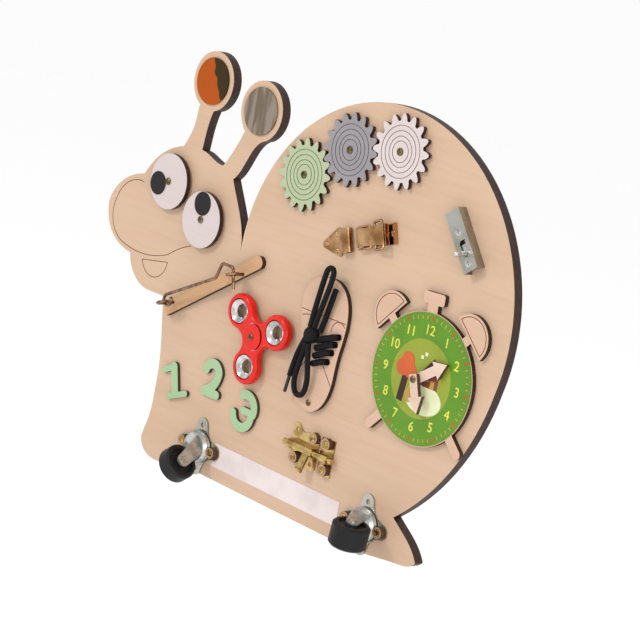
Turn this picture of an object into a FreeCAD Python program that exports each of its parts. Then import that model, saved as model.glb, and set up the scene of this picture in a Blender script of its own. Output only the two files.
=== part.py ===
import FreeCAD, Part
import math
import os
from FreeCAD import Placement, Rotation, Vector

# Wooden busy board, millimetres. X is to the right, Z is up, and Y runs from the front to the wall.
# The origin is the centre of the round shell, on the board's back face.

# Driving dimensions
SIZES = [
    ("board_thickness", "8.5"),
    ("shell_radius", "144.7"),
    ("shell_growth", "21.2"),
    ("antenna_disc_radius", "24.3"),
    ("left_antenna_x", "-212"),
    ("left_antenna_z", "122.9"),
    ("right_antenna_x", "-149.6"),
    ("right_antenna_z", "110.6"),
    ("mirror_radius", "19.15"),
    ("mirror_thickness", "1.5"),
    ("score_width", "0.7"),
    ("score_depth", "0.4"),
    ("screw_radius", "1.7"),
    ("screw_depth", "6.5"),
    ("screw_head_radius", "2.9"),
    ("screw_head_rise", "1.7"),
    ("pilot_clearance", "0.05"),
    ("turn_clearance", "0.06"),
    ("end_float", "0.15"),
    ("eye_radius", "23.07"),
    ("eye_thickness", "4"),
    ("eye_washer_radius", "5"),
    ("eye_washer_thickness", "1.9"),
    ("left_eye_x", "-238.8"),
    ("left_eye_z", "33.9"),
    ("right_eye_x", "-191.3"),
    ("right_eye_z", "12.8"),
    ("pupil_radius", "9.7"),
    ("pupil_offset", "13.1"),
    ("pupil_thickness", "0.5"),
    ("left_look_angle", "198"),
    ("right_look_angle", "94"),
    ("gear_teeth", "16"),
    ("gear_pitch_radius", "26.1"),
    ("gear_addendum", "2.1"),
    ("gear_dedendum", "3.1"),
    ("gear_thickness", "3.2"),
    ("gear_washer_radius", "5"),
    ("gear_washer_thickness", "0.8"),
    ("gear_backlash", "0.5"),
    ("grey_gear_x", "-41.5"),
    ("grey_gear_z", "102.5"),
    ("green_gear_bearing", "213.4"),
    ("white_gear_bearing", "10.5"),
    ("grey_gear_phase", "4"),
    ("latch_x", "-53.9"),
    ("latch_z", "26.4"),
    ("latch_turn", "20"),
    ("latch_sheet", "1"),
    ("catch_length", "20"),
    ("catch_width", "22"),
    ("catch_tip_radius", "2.6"),
    ("hook_plate_width", "18.5"),
    ("hook_roll_height", "6.4"),
    ("rivet_radius", "1.4"),
    ("latch_base_start", "43"),
    ("latch_base_end", "78"),
    ("latch_base_width", "16"),
    ("lever_start", "43.3"),
    ("lever_end", "72"),
    ("lever_start_width", "12.6"),
    ("lever_end_width", "15.6"),
    ("lever_height", "7.6"),
    ("lever_flange", "4.4"),
    ("lever_pivot_s", "46"),
    ("lever_pivot_height", "5"),
    ("lever_pin_radius", "0.9"),
    ("bail_pivot_s", "54"),
    ("bail_pivot_height", "4.6"),
    ("bail_reach", "13.4"),
    ("bail_wire_radius", "0.9"),
    ("bail_gap", "0.4"),
    ("ring_pivot_s", "59"),
    ("ring_reach", "12.6"),
    ("ring_wire_radius", "1.1"),
    ("ring_inner_half_width", "9.4"),
    ("case_x", "88.6"),
    ("case_z", "64.3"),
    ("case_turn", "-52.4"),
    ("case_length", "46.7"),
    ("case_width", "13.8"),
    ("case_height", "8.5"),
    ("case_sheet", "1"),
    ("case_bolt_radius", "2.9"),
    ("case_bolt_travel", "8"),
    ("case_bolt_end_gap", "2.75"),
    ("case_knob_radius", "2"),
    ("case_knob_rise", "11.5"),
    ("case_screw_near", "-7.1"),
    ("case_screw_far", "17.2"),
    ("strip_length", "124"),
    ("strip_width", "10.5"),
    ("strip_thickness", "4"),
    ("strip_turn", "33.2"),
    ("strip_x", "-217.6"),
    ("strip_z", "-69.4"),
    ("eye_wire_radius", "1.3"),
    ("eye_loop_radius", "4.6"),
    ("left_eyelet_x", "-209"),
    ("left_eyelet_z", "-61"),
    ("eyelet_rise", "15"),
    ("left_eyelet_turn", "25"),
    ("right_eyelet_x", "-132.5"),
    ("right_eyelet_z", "-17.6"),
    ("right_eyelet_turn", "20"),
    ("hook_wire_radius", "1.3"),
    ("hook_loop_radius", "4.6"),
    ("hook_bend", "3.2"),
    ("shank_turn", "26.9"),
    ("spinner_x", "-103.2"),
    ("spinner_z", "-60.7"),
    ("spinner_turn", "22.5"),
    ("spinner_arm", "25.5"),
    ("spinner_lobe_radius", "14.2"),
    ("spinner_waist", "13.2"),
    ("spinner_thickness", "8"),
    ("spinner_gap", "2"),
    ("spinner_edge", "2.6"),
    ("weight_radius", "10.3"),
    ("weight_hole_radius", "5.2"),
    ("weight_thickness", "7.4"),
    ("bearing_radius", "11"),
    ("bearing_bore_radius", "4"),
    ("bearing_thickness", "7"),
    ("ball_radius", "1.9"),
    ("ball_count", "7"),
    ("cap_radius", "10.5"),
    ("cap_rise", "0.9"),
    ("shoe_thickness", "4"),
    ("lace_radius", "2.2"),
    ("row_radius", "2.5"),
    ("knot_radius", "6.6"),
    ("knot_height", "9"),
    ("soft_clearance", "0.3"),
    ("barrel_x", "-32.6"),
    ("barrel_z", "-129.4"),
    ("barrel_plate_width", "29.6"),
    ("barrel_plate_height", "33"),
    ("keeper_width", "14.3"),
    ("keeper_gap", "2.5"),
    ("barrel_sheet", "1"),
    ("rod_radius", "2.5"),
    ("rod_length", "54.3"),
    ("rod_travel", "14"),
    ("rod_axis_rise", "5"),
    ("rod_clearance", "0.08"),
    ("handle_width", "6.5"),
    ("handle_drop", "16"),
    ("handle_slope", "20"),
    ("wood_washer_radius", "4.5"),
    ("wood_washer_thickness", "4"),
    ("brass_head_radius", "3"),
    ("clock_x", "73.4"),
    ("clock_z", "-42.6"),
    ("clock_thickness", "4"),
    ("clock_turn", "2.5"),
    ("clock_radius", "49.7"),
    ("dial_radius", "48.9"),
    ("dial_thickness", "0.5"),
    ("bell_distance", "54.5"),
    ("bell_half_chord", "18"),
    ("bell_height", "18.5"),
    ("bell_stem_width", "7"),
    ("leg_reach", "67"),
    ("leg_width", "7.5"),
    ("knob_width", "21"),
    ("knob_height", "8.7"),
    ("knob_reach", "64"),
    ("hand_thickness", "3.2"),
    ("hand_hub_radius", "4.4"),
    ("hand_width", "7.4"),
    ("hand_head_width", "14"),
    ("hand_head_length", "12.5"),
    ("long_hand_length", "31.5"),
    ("long_hand_angle", "35"),
    ("short_hand_length", "25.6"),
    ("short_hand_angle", "-68.4"),
    ("hand_gap", "0.4"),
    ("hand_lift", "0.9"),
    ("digit_thickness", "3"),
    ("tape_length", "147"),
    ("tape_width", "19.3"),
    ("tape_thickness", "0.4"),
    ("tape_x", "-59.2"),
    ("tape_z", "-167.6"),
    ("left_caster_x", "-150.2"),
    ("left_caster_z", "-166.2"),
    ("left_caster_swivel", "-52"),
    ("left_caster_offset", "13.5"),
    ("left_wheel_width", "13"),
    ("right_caster_x", "43.9"),
    ("right_caster_z", "-165"),
    ("right_caster_swivel", "-5"),
    ("right_caster_offset", "13"),
    ("right_wheel_width", "18"),
    ("caster_lug_distance", "18"),
    ("caster_lug_radius", "6"),
    ("caster_plate_sheet", "1.5"),
    ("race_radius", "13.5"),
    ("race_height", "4"),
    ("wheel_radius", "14.5"),
    ("axle_height", "29"),
    ("axle_radius", "2"),
    ("fork_sheet", "1.5"),
    ("wheel_side_gap", "0.5"),
    ("kingpin_radius", "3"),
]

doc = FreeCAD.newDocument("busy_board")
sheet = doc.addObject("Spreadsheet::Sheet", "Sizes")
for row, (alias, value) in enumerate(SIZES, 1):
    sheet.set(f"A{row}", alias)
    sheet.set(f"B{row}", value)
    sheet.setAlias(f"B{row}", alias)
doc.recompute()

# The board's front looks along -Y: a piece made flat on XY stands out of the board after this turn
TO_FRONT = Rotation(Vector(1, 0, 0), 90)
SUBPARTS = []

# Alike fastenings from all over the board, gathered into one sub-part of each kind
PIVOT_SCREWS = []
PIVOT_SPACERS = []
WOODEN_WASHERS = []
BRASS_SCREWS = []
KINGPINS = []


def size(alias):
    return float(sheet.get(alias))


def polar(radius, angle, centre=(0, 0)):
    turn = math.radians(angle)
    return (centre[0] + radius * math.cos(turn), centre[1] + radius * math.sin(turn))


def cell(text):
    """An expression with every size's alias led by the sheet's name."""
    known = {alias for alias, _ in SIZES}
    words = text.replace("(", " ( ").replace(")", " ) ").split()
    return " ".join(f"Sizes.{word}" if word in known else word for word in words)


def stand(piece, across, up, lift="0"):
    """Stands a piece on the board's front: centre across and up, lift off the face."""
    piece.Placement = Placement(Vector(0, 0, 0), TO_FRONT)
    piece.setExpression("Placement.Base.x", cell(across))
    piece.setExpression("Placement.Base.y", cell(f"-1 * ( board_thickness + {lift} )"))
    piece.setExpression("Placement.Base.z", cell(up))
    return piece


def keep(piece, label):
    piece.Label = label
    SUBPARTS.append(piece)
    return piece


def origin_plane(body, role):
    for feature in body.Origin.OriginFeatures:
        if feature.Role == role:
            return feature
    raise ValueError(role)


def sketch_on(body, name, edges, role="XY_Plane"):
    sketch = body.newObject("Sketcher::SketchObject", name)
    sketch.AttachmentSupport = [(origin_plane(body, role), "")]
    sketch.MapMode = "FlatFace"
    for curve in edges:
        sketch.addGeometry(curve, False)
    return sketch


def line(start, end):
    return Part.LineSegment(Vector(start[0], start[1], 0), Vector(end[0], end[1], 0))


def arc(start, middle, end):
    return Part.Arc(*(Vector(p[0], p[1], 0) for p in (start, middle, end)))


def circle(radius, centre=(0, 0)):
    return Part.Circle(Vector(centre[0], centre[1], 0), Vector(0, 0, 1), radius)


def curve(points):
    spline = Part.BSplineCurve()
    spline.interpolate([Vector(p[0], p[1], 0) for p in points])
    return spline


def closed_curve(points):
    spline = Part.BSplineCurve()
    spline.interpolate([Vector(p[0], p[1], 0) for p in points], PeriodicFlag=True)
    return spline


def polygon(points):
    return [line(a, b) for a, b in zip(points, points[1:] + points[:1])]


def plate(name, edges, thickness):
    """A flat piece: one sketch padded to the thickness that a cell holds."""
    body = doc.addObject("PartDesign::Body", name)
    sketch = sketch_on(body, f"{name}_outline", edges)
    pad = body.newObject("PartDesign::Pad", f"{name}_pad")
    pad.Profile = sketch
    pad.setExpression("Length", cell(thickness))
    body.Tip = pad
    return body


def solid_feature(name, shape):
    piece = doc.addObject("Part::Feature", name)
    piece.Shape = shape
    return piece


def flat_solid(edges, thickness, lift=0.0):
    """A prism on XY from the edges of one or more closed outlines, the largest first."""
    wires = [Part.Wire(group) for group in Part.sortEdges([e.toShape() for e in edges])]
    wires.sort(key=lambda wire: -Part.Face(wire).Area)
    face = Part.Face(wires)
    return face.extrude(Vector(0, 0, thickness)).translated(Vector(0, 0, lift))


def tube_along(points, radius, closed=False):
    """A round wire of straight runs joined by arcs as large as half the shorter run allows."""
    points = [Vector(*p) for p in points]
    edges = []
    last = points[0]
    for before, corner, after in zip(points, points[1:], points[2:]):
        into = corner.sub(before)
        out = after.sub(corner)
        turn = into.getAngle(out)
        if turn < 0.01:
            continue
        trim = 0.45 * min(into.Length, out.Length)
        start = corner.sub(into.normalize().multiply(trim))
        end = corner.add(out.normalize().multiply(trim))
        bend = trim / math.tan(turn / 2)
        print(f"wire of radius {radius:.1f} mm bends with a radius of {bend:.1f} mm")
        to_centre = start.add(end).multiply(0.5).sub(corner)
        depth = math.hypot(bend, trim) - bend
        middle = corner.add(to_centre.normalize().multiply(depth))
        edges.append(Part.LineSegment(last, start).toShape())
        edges.append(Part.Arc(start, middle, end).toShape())
        last = end
    edges.append(Part.LineSegment(last, points[-1]).toShape())
    path = Part.Wire(edges)
    heading = points[1].sub(points[0])
    section = Part.Wire(Part.Circle(points[0], heading, radius).toShape())
    shape = path.makePipeShell([section], True, False)
    expected = math.pi * radius ** 2 * path.Length
    if abs(shape.Volume / expected - 1) > 0.02:
        raise ValueError(f"tube volume {shape.Volume:.1f} against {expected:.1f}")
    return shape


# Screws: each is a blunt shank in the board and a domed head with a cross slot
def screw_profile(grip, head_radius, head_rise):
    """Profile from the shank's end in the board to the head that stands on top of the grip."""
    shank = size("screw_radius")
    depth = size("screw_depth")
    return [(0, -depth), (shank * 0.6, -depth), (shank, -depth + 1.5), (shank, grip),
            (head_radius, grip), (head_radius, grip + head_rise * 0.45),
            (head_radius * 0.7, grip + head_rise * 0.85), (0, grip + head_rise)]


def cross_slot(reach, top, depth):
    bar = Part.makeBox(2 * reach, 0.7, depth, Vector(-reach, -0.35, top - depth))
    return bar.fuse(bar.rotated(Vector(0, 0, 0), Vector(0, 0, 1), 90))


def screw_solid(grip, head_radius=None, head_rise=None):
    head_radius = head_radius or size("screw_head_radius")
    head_rise = head_rise or size("screw_head_rise")
    points = [Vector(r, 0, z) for r, z in screw_profile(grip, head_radius, head_rise)]
    face = Part.Face(Part.makePolygon(points + points[:1]))
    shape = face.revolve(Vector(0, 0, 0), Vector(0, 0, 1), 360)
    return shape.cut(cross_slot(head_radius * 0.55, grip + head_rise + 0.1, head_rise * 0.5))


def countersunk_shape(grip, head_radius, growth=0.0):
    """A round solid with a flat head that ends level with the grip, with growth on its radius all over."""
    shank = size("screw_radius") + growth
    head = head_radius + growth
    depth = size("screw_depth")
    points = [(0, -depth), (shank * 0.6, -depth), (shank, -depth + 1.5), (shank, grip - head + shank),
              (head, grip - 0.2), (head, grip), (0, grip)]
    vectors = [Vector(r, 0, z) for r, z in points]
    face = Part.Face(Part.makePolygon(vectors + vectors[:1]))
    return face.revolve(Vector(0, 0, 0), Vector(0, 0, 1), 360)


def countersunk_solid(grip, head_radius):
    screw = countersunk_shape(grip, head_radius)
    return screw.cut(cross_slot(head_radius * 0.6, grip + 0.01, 1.0))


def onto_front(shape, across, up, lift=0.0, turn=0.0):
    """A solid made flat on XY, set at its place on the board's front."""
    place = Vector(across, -size("board_thickness") - lift, up)
    spin = Rotation(Vector(0, 0, 1), turn)
    moved = shape.copy()
    moved.Placement = Placement(place, TO_FRONT.multiply(spin)).multiply(moved.Placement)
    return moved


def group(name, shapes):
    return keep(solid_feature(name, Part.makeCompound(shapes)), name)


def washer_solid(radius, thickness, bore):
    return Part.makeCylinder(radius, thickness).cut(Part.makeCylinder(bore, thickness))


# Places that more than one piece shares
LEFT_EYE = (size("left_eye_x"), size("left_eye_z"))
RIGHT_EYE = (size("right_eye_x"), size("right_eye_z"))
LEFT_ANTENNA = (size("left_antenna_x"), size("left_antenna_z"))
RIGHT_ANTENNA = (size("right_antenna_x"), size("right_antenna_z"))
GREY_GEAR = (size("grey_gear_x"), size("grey_gear_z"))
GEAR_DISTANCE = 2 * size("gear_pitch_radius")
GREEN_GEAR = polar(GEAR_DISTANCE, size("green_gear_bearing"), GREY_GEAR)
WHITE_GEAR = polar(GEAR_DISTANCE, size("white_gear_bearing"), GREY_GEAR)
SPINNER = (size("spinner_x"), size("spinner_z"))
CLOCK = (size("clock_x"), size("clock_z"))
CASE = (size("case_x"), size("case_z"))
BARREL = (size("barrel_x"), size("barrel_z"))
SHOE_SCREW = (-34.5, -93.8)
PILOT = size("screw_radius") + size("pilot_clearance")
BORE = size("screw_radius") + size("turn_clearance")


def along(origin, turn, s, t=0.0):
    """A point s along and t across an axis that starts at the origin and is turned from X."""
    start = polar(s, turn, origin)
    return polar(t, turn + 90, start)


def latch_point(s, t=0.0):
    return along((size("latch_x"), size("latch_z")), size("latch_turn"), s, t)


CASE_SCREWS = [along(CASE, size("case_turn"), size(a)) for a in ("case_screw_near", "case_screw_far")]
CATCH_RIVETS = [(4, 0), (15, 6.2), (15, -6.2)]
LATCH_BASE_SCREWS = [(60, 0), (74.5, 0)]

# Barrel bolt screws: two on the main plate and two on the keeper, across and up from the rod's middle
MAIN_SCREWS = [(10.7, 10.9), (-7.2, -9.7)]
KEEPER_SCREWS = [(25, 10.8), (26.2, -9.6)]
BARREL_SCREWS = [(BARREL[0] + x, BARREL[1] + z) for x, z in MAIN_SCREWS + KEEPER_SCREWS]


def caster_screws(side):
    centre = (size(f"{side}_caster_x"), size(f"{side}_caster_z"))
    return [polar(size("caster_lug_distance"), angle, centre) for angle in (0, 180)]


CASTER_SCREWS = caster_screws("left") + caster_screws("right")


# Board: one plywood sheet cut to a snail
def shell_point(angle, growth=0.0):
    return polar(size("shell_radius") + growth, angle)


def on_antenna(centre, angle):
    return polar(size("antenna_disc_radius"), angle, centre)


def board_outline():
    growth = size("shell_growth")
    neck = shell_point(180.7)
    shell_end = shell_point(-13.1)
    tail_notch = shell_point(-65, growth)
    tail_tip = (99.8, -175.7)
    left_in = on_antenna(LEFT_ANTENNA, -119)
    left_out = on_antenna(LEFT_ANTENNA, -75)
    right_in = on_antenna(RIGHT_ANTENNA, -129)
    right_out = on_antenna(RIGHT_ANTENNA, -62)
    nose_top = (-277.7, 32.3)
    nose_foot = (-279.1, -36.3)
    left_root = (-234.7, 64.7)
    between = (-211.3, 66.3)
    right_root = (-182.7, 59.7)
    head_corner = (-168.4, 51.6)
    foot_left = (-224.4, -180.5)
    return [
        arc(neck, shell_point(83), shell_end),
        arc(shell_end, shell_point(-40, growth * 0.34), tail_notch),
        curve([tail_notch, (79.3, -156.5), (90.9, -164.9), tail_tip]),
        curve([tail_tip, (97.5, -178), (79.3, -182.6), (50.9, -186.2), (6.3, -188.1)]),
        line((6.3, -188.1), (-146.7, -188.1)),
        curve([(-146.7, -188.1), (-170, -190.8), (-196, -194.6), (-211.3, -194.1),
               (-219.5, -190), foot_left]),
        curve([foot_left, (-222.4, -173.1), (-219.1, -162), (-217.4, -140.7), (-217.6, -118),
               (-220.2, -98), (-223.6, -80.7), (-227.5, -60.7)]),
        line((-227.5, -60.7), (-246, -60.7)),
        arc((-246, -60.7), (-265.3, -55.6), (-279.1, -36.3)),
        curve([nose_foot, (-292, -33.6), (-306.3, -26), (-315.3, -13.5), (-317.7, 0.5),
               (-311.7, 13.3), (-299.1, 24.3), nose_top]),
        arc(nose_top, (-258.6, 54), left_root),
        curve([left_root, (-229.5, 74), (-225.2, 87), (-224.6, 95), left_in]),
        arc(left_in, on_antenna(LEFT_ANTENNA, 83), left_out),
        curve([left_out, (-208.4, 90.5), (-210.2, 79), between]),
        curve([between, (-201, 64.2), (-191, 60.6), right_root]),
        curve([right_root, (-175.5, 70.6), (-169, 82.5), right_in]),
        arc(right_in, on_antenna(RIGHT_ANTENNA, 85), right_out),
        curve([right_out, (-146.8, 84.4), (-156.3, 69.7), head_corner]),
        curve([head_corner, (-158.6, 35.4), (-149.6, 18.8), neck]),
    ]


def stroke_face(path, width):
    """A band of even width with round ends that follows a line or a run of open curves."""
    half = width / 2
    if len(path) > 1 or not isinstance(path[0], Part.LineSegment):
        wire = Part.Wire([edge.toShape() for edge in path])
        return Part.Face(wire.makeOffset2D(half))
    start = path[0].StartPoint
    end = path[0].EndPoint
    ahead = end.sub(start).normalize().multiply(half)
    aside = Vector(-ahead.y, ahead.x, 0)
    edges = [
        Part.LineSegment(start.add(aside), end.add(aside)),
        Part.Arc(end.add(aside), end.add(ahead), end.sub(aside)),
        Part.LineSegment(end.sub(aside), start.sub(aside)),
        Part.Arc(start.sub(aside), start.sub(ahead), start.add(aside)),
    ]
    return Part.Face(Part.Wire([edge.toShape() for edge in edges]))


def score_solid(path, face_height):
    depth = size("score_depth")
    band = stroke_face(path, size("score_width"))
    return band.extrude(Vector(0, 0, depth + 1)).translated(Vector(0, 0, face_height - depth))


def score_ring(radius, face_height):
    half = size("score_width") / 2
    depth = size("score_depth")
    base = Vector(0, 0, face_height - depth)
    outer = Part.makeCylinder(radius + half, depth + 1, base)
    return outer.cut(Part.makeCylinder(radius - half, depth + 1, base))


NOSE_LINE = [
    arc((-276.7, 25.3), (-297.5, 20.2), (-308.5, 5)),
    arc((-308.5, 5), (-307.8, -17), (-292.5, -29.6)),
    arc((-292.5, -29.6), (-262, -33), (-230.7, -26)),
    arc((-230.7, -26), (-219, -18.5), (-204, -12)),
]
MOUTH_LINES = [
    [line((-262, -37.7), (-229.7, -32.4))],
    [arc((-262, -37.7), (-250.5, -48.2), (-229.7, -32.4))],
]


def make_board():
    body = plate("board_sheet", board_outline(), "board_thickness")
    body.Placement = Placement(Vector(0, 0, 0), TO_FRONT)
    doc.recompute()
    sheet_top = size("board_thickness")
    cuts = [score_solid(NOSE_LINE[:], sheet_top)]
    cuts += [score_solid(path, sheet_top) for path in MOUTH_LINES]
    screw_places = [LEFT_EYE, RIGHT_EYE, GREY_GEAR, GREEN_GEAR, WHITE_GEAR, SPINNER, CLOCK, SHOE_SCREW]
    screw_places += CASE_SCREWS + BARREL_SCREWS + CASTER_SCREWS
    screw_places += [latch_point(*p) for p in LATCH_BASE_SCREWS]
    reach = size("screw_depth") + 0.6
    for across, up in screw_places:
        base = Vector(across, up, sheet_top - reach)
        cuts.append(Part.makeCylinder(PILOT, reach + 1, base))
    for side in ("left", "right"):
        place = (size(f"{side}_eyelet_x"), size(f"{side}_eyelet_z"))
        base = Vector(place[0], place[1], sheet_top - reach)
        cuts.append(Part.makeCylinder(size("eye_wire_radius") + 0.05, reach + 1, base))
    for x, z in (latch_point(*p) for p in CATCH_RIVETS):
        base = Vector(x, z, sheet_top - 4.2)
        cuts.append(Part.makeCylinder(size("rivet_radius") + 0.05, 6, base))
    tools = solid_feature("board_cuts", Part.makeCompound(cuts))
    tools.Placement = Placement(Vector(0, 0, 0), TO_FRONT)
    board = doc.addObject("Part::Cut", "board")
    board.Base = body
    board.Tool = tools
    return keep(board, "board")


def make_mirrors():
    mirrors = []
    for side in ("left", "right"):
        mirror = doc.addObject("Part::Cylinder", f"mirror_{side}")
        mirror.setExpression("Radius", cell("mirror_radius"))
        mirror.setExpression("Height", cell("mirror_thickness"))
        mirrors.append(stand(mirror, f"{side}_antenna_x", f"{side}_antenna_z"))
    pair = doc.addObject("Part::Compound", "antenna_mirrors")
    pair.Links = mirrors
    keep(pair, "antenna_mirrors")


# Eyes: a white disc with a black pupil turns on a screw over a washer
def make_eyes():
    float_gap = size("end_float")
    lift = size("eye_washer_thickness") + float_gap
    grip = lift + size("eye_thickness") + float_gap
    for side, place in (("left", LEFT_EYE), ("right", RIGHT_EYE)):
        disc = plate(f"eye_{side}", [circle(size("eye_radius")), circle(BORE)], "eye_thickness")
        stand(disc, f"{side}_eye_x", f"{side}_eye_z", "eye_washer_thickness + end_float")
        keep(disc, f"eye_{side}")
        look = polar(size("pupil_offset"), size(f"{side}_look_angle"), place)
        pupil = Part.makeCylinder(size("pupil_radius"), size("pupil_thickness"))
        pupil_lift = lift + size("eye_thickness")
        keep(solid_feature(f"pupil_{side}", onto_front(pupil, *look, pupil_lift)), f"pupil_{side}")
        PIVOT_SCREWS.append(onto_front(screw_solid(grip), *place))
        washer = washer_solid(size("eye_washer_radius"), size("eye_washer_thickness"), BORE)
        PIVOT_SPACERS.append(onto_front(washer, *place))


# Gears: equal toothed wheels whose pitch circles touch
def tooth_flank(pitch, root, tip, half_angle):
    """Three points of a flank: root, pitch and tip, the tooth narrowing outwards."""
    return [(root, half_angle * 1.55), (pitch, half_angle), (tip, half_angle * 0.38)]


def gear_outline():
    pitch = size("gear_pitch_radius")
    tip = pitch + size("gear_addendum")
    root = pitch - size("gear_dedendum")
    teeth = int(size("gear_teeth"))
    step = 360 / teeth
    half = step / 4 - math.degrees(size("gear_backlash") / 2 / pitch)
    edges = []
    for number in range(teeth):
        middle = number * step
        flank = tooth_flank(pitch, root, tip, half)
        rising = [polar(r, middle - a) for r, a in flank]
        falling = [polar(r, middle + a) for r, a in reversed(flank)]
        next_root = polar(root, middle + step - flank[0][1])
        edges.append(arc(*rising))
        edges.append(arc(rising[-1], polar(tip + 0.25, middle), falling[0]))
        edges.append(arc(*falling))
        edges.append(arc(falling[-1], polar(root - 0.3, middle + step / 2), next_root))
    return edges


SCORED_RINGS = (8, 11.5, 15.5, 19.5)


def make_gear(colour, place, phase):
    body = plate(f"{colour}_wheel", gear_outline() + [circle(BORE)], "gear_thickness")
    doc.recompute()
    rings = [score_ring(radius, size("gear_thickness")) for radius in SCORED_RINGS]
    shape = body.Shape.cut(Part.makeCompound(rings))
    lift = size("gear_washer_thickness") + size("end_float")
    gear = solid_feature(f"gear_{colour}", onto_front(shape, *place, lift, phase))
    keep(gear, f"gear_{colour}")


def meshing_phase(bearing, phase):
    """The turn of a gear that stands at a bearing from the middle one, so that their teeth mesh."""
    step = 360 / size("gear_teeth")
    into = (bearing - phase) % step
    return bearing + 180 + into + step / 2


def make_gears():
    phase = size("grey_gear_phase")
    make_gear("grey", GREY_GEAR, phase)
    make_gear("green", GREEN_GEAR, meshing_phase(size("green_gear_bearing"), phase))
    make_gear("white", WHITE_GEAR, meshing_phase(size("white_gear_bearing"), phase))
    float_gap = size("end_float")
    grip = size("gear_washer_thickness") + size("gear_thickness") + 2 * float_gap
    washer = washer_solid(size("gear_washer_radius"), size("gear_washer_thickness"), BORE)
    for place in (GREY_GEAR, GREEN_GEAR, WHITE_GEAR):
        PIVOT_SCREWS.append(onto_front(screw_solid(grip), *place))
        PIVOT_SPACERS.append(onto_front(washer, *place))


# Toggle latch, made along +X from the catch plate's tip and then turned in place
def latch_feature(name, shape):
    place = (size("latch_x"), size("latch_z"))
    return keep(solid_feature(name, onto_front(shape, *place, 0, size("latch_turn"))), name)


def catch_plate_solid():
    length = size("catch_length")
    half = size("catch_width") / 2
    tip = size("catch_tip_radius")
    metal = size("latch_sheet")
    corner = 1.5
    outline = [
        arc((tip * 0.6, tip), (0, 0), (tip * 0.6, -tip)),
        line((tip * 0.6, -tip), (length - 4, -half + 0.6)),
        arc((length - 4, -half + 0.6), (length - 1.2, -half + 0.2), (length, -half + corner + 0.6)),
        line((length, -half + corner + 0.6), (length, half - corner - 0.6)),
        arc((length, half - corner - 0.6), (length - 1.2, half - 0.2), (length - 4, half - 0.6)),
        line((length - 4, half - 0.6), (tip * 0.6, tip)),
    ]
    flat = flat_solid(outline, metal)
    for s, t in CATCH_RIVETS:
        flat = flat.cut(Part.makeCylinder(size("rivet_radius") + 0.05, 2 * metal, Vector(s, t, -0.5)))
    return flat.fuse(rolled_hook_solid(length, metal))


def rolled_hook_solid(start, metal):
    """The sheet goes on from the catch plate, rises and rolls back over itself into a hook."""
    top = size("hook_roll_height")
    roll = top / 2
    end = start + 9.5
    outer = [
        line((start - 0.5, 0), (end, 0)),
        arc((end, 0), (end + roll, roll), (end, top)),
        line((end, top), (start + 4.5, top)),
        arc((start + 4.5, top), (start + 2.6, top - 1.2), (start + 2.4, top - 2.8)),
        line((start + 2.4, top - 2.8), (start + 2.4 + metal, top - 2.8)),
        arc((start + 2.4 + metal, top - 2.8), (start + 3.7, top - metal - 0.6), (start + 4.8, top - metal)),
        line((start + 4.8, top - metal), (end, top - metal)),
        arc((end, top - metal), (end + roll - metal, roll), (end, metal)),
        line((end, metal), (start - 0.5, metal)),
        line((start - 0.5, metal), (start - 0.5, 0)),
    ]
    width = size("hook_plate_width")
    side = flat_solid(outer, width)
    upright = side.rotated(Vector(0, 0, 0), Vector(1, 0, 0), 90)
    return upright.translated(Vector(0, width / 2, 0))


def rivet_solid():
    radius = size("rivet_radius")
    metal = size("latch_sheet")
    shank = Part.makeCylinder(radius, 4 + metal, Vector(0, 0, -4))
    head = Part.makeSphere(radius * 1.7, Vector(0, 0, metal - radius * 0.9))
    head = head.common(Part.makeBox(10, 10, 5, Vector(-5, -5, metal)))
    return shank.fuse(head)


def latch_base_solid():
    metal = size("latch_sheet")
    start = size("latch_base_start")
    end = size("latch_base_end")
    half = size("latch_base_width") / 2
    base = Part.makeBox(end - start, 2 * half, metal, Vector(start, -half, 0))
    rolled_end = Part.makeBox(metal, 2 * half, 3, Vector(end - metal, -half, 0))
    solid = base.fuse(rolled_end)
    ear_half = lever_inner_half(size("lever_pivot_s")) - 0.25
    pin = size("lever_pivot_s")
    height = size("lever_pivot_height")
    for side in (-1, 1):
        y = side * ear_half - (metal if side > 0 else 0)
        web = Part.makeBox(4.4, metal, height - 0.7, Vector(pin - 1.3, y, 0))
        boss = Part.makeCylinder(1.4, metal, Vector(pin, y, height), Vector(0, 1, 0))
        solid = solid.fuse(web).fuse(boss)
    pin_hole = Part.makeCylinder(size("lever_pin_radius") + 0.03, 30, Vector(pin, -15, height), Vector(0, 1, 0))
    solid = solid.cut(pin_hole)
    for s, t in LATCH_BASE_SCREWS:
        solid = solid.cut(Part.makeCylinder(PILOT, 3, Vector(s, t, -0.5)))
    return solid


def lever_half(s):
    """Half the lever's outside width at a place along it: it widens to its free end."""
    share = (s - size("lever_start")) / (size("lever_end") - size("lever_start"))
    start = size("lever_start_width") / 2
    return start + share * (size("lever_end_width") / 2 - start)


def lever_inner_half(s):
    return lever_half(s) - size("latch_sheet")


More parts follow.
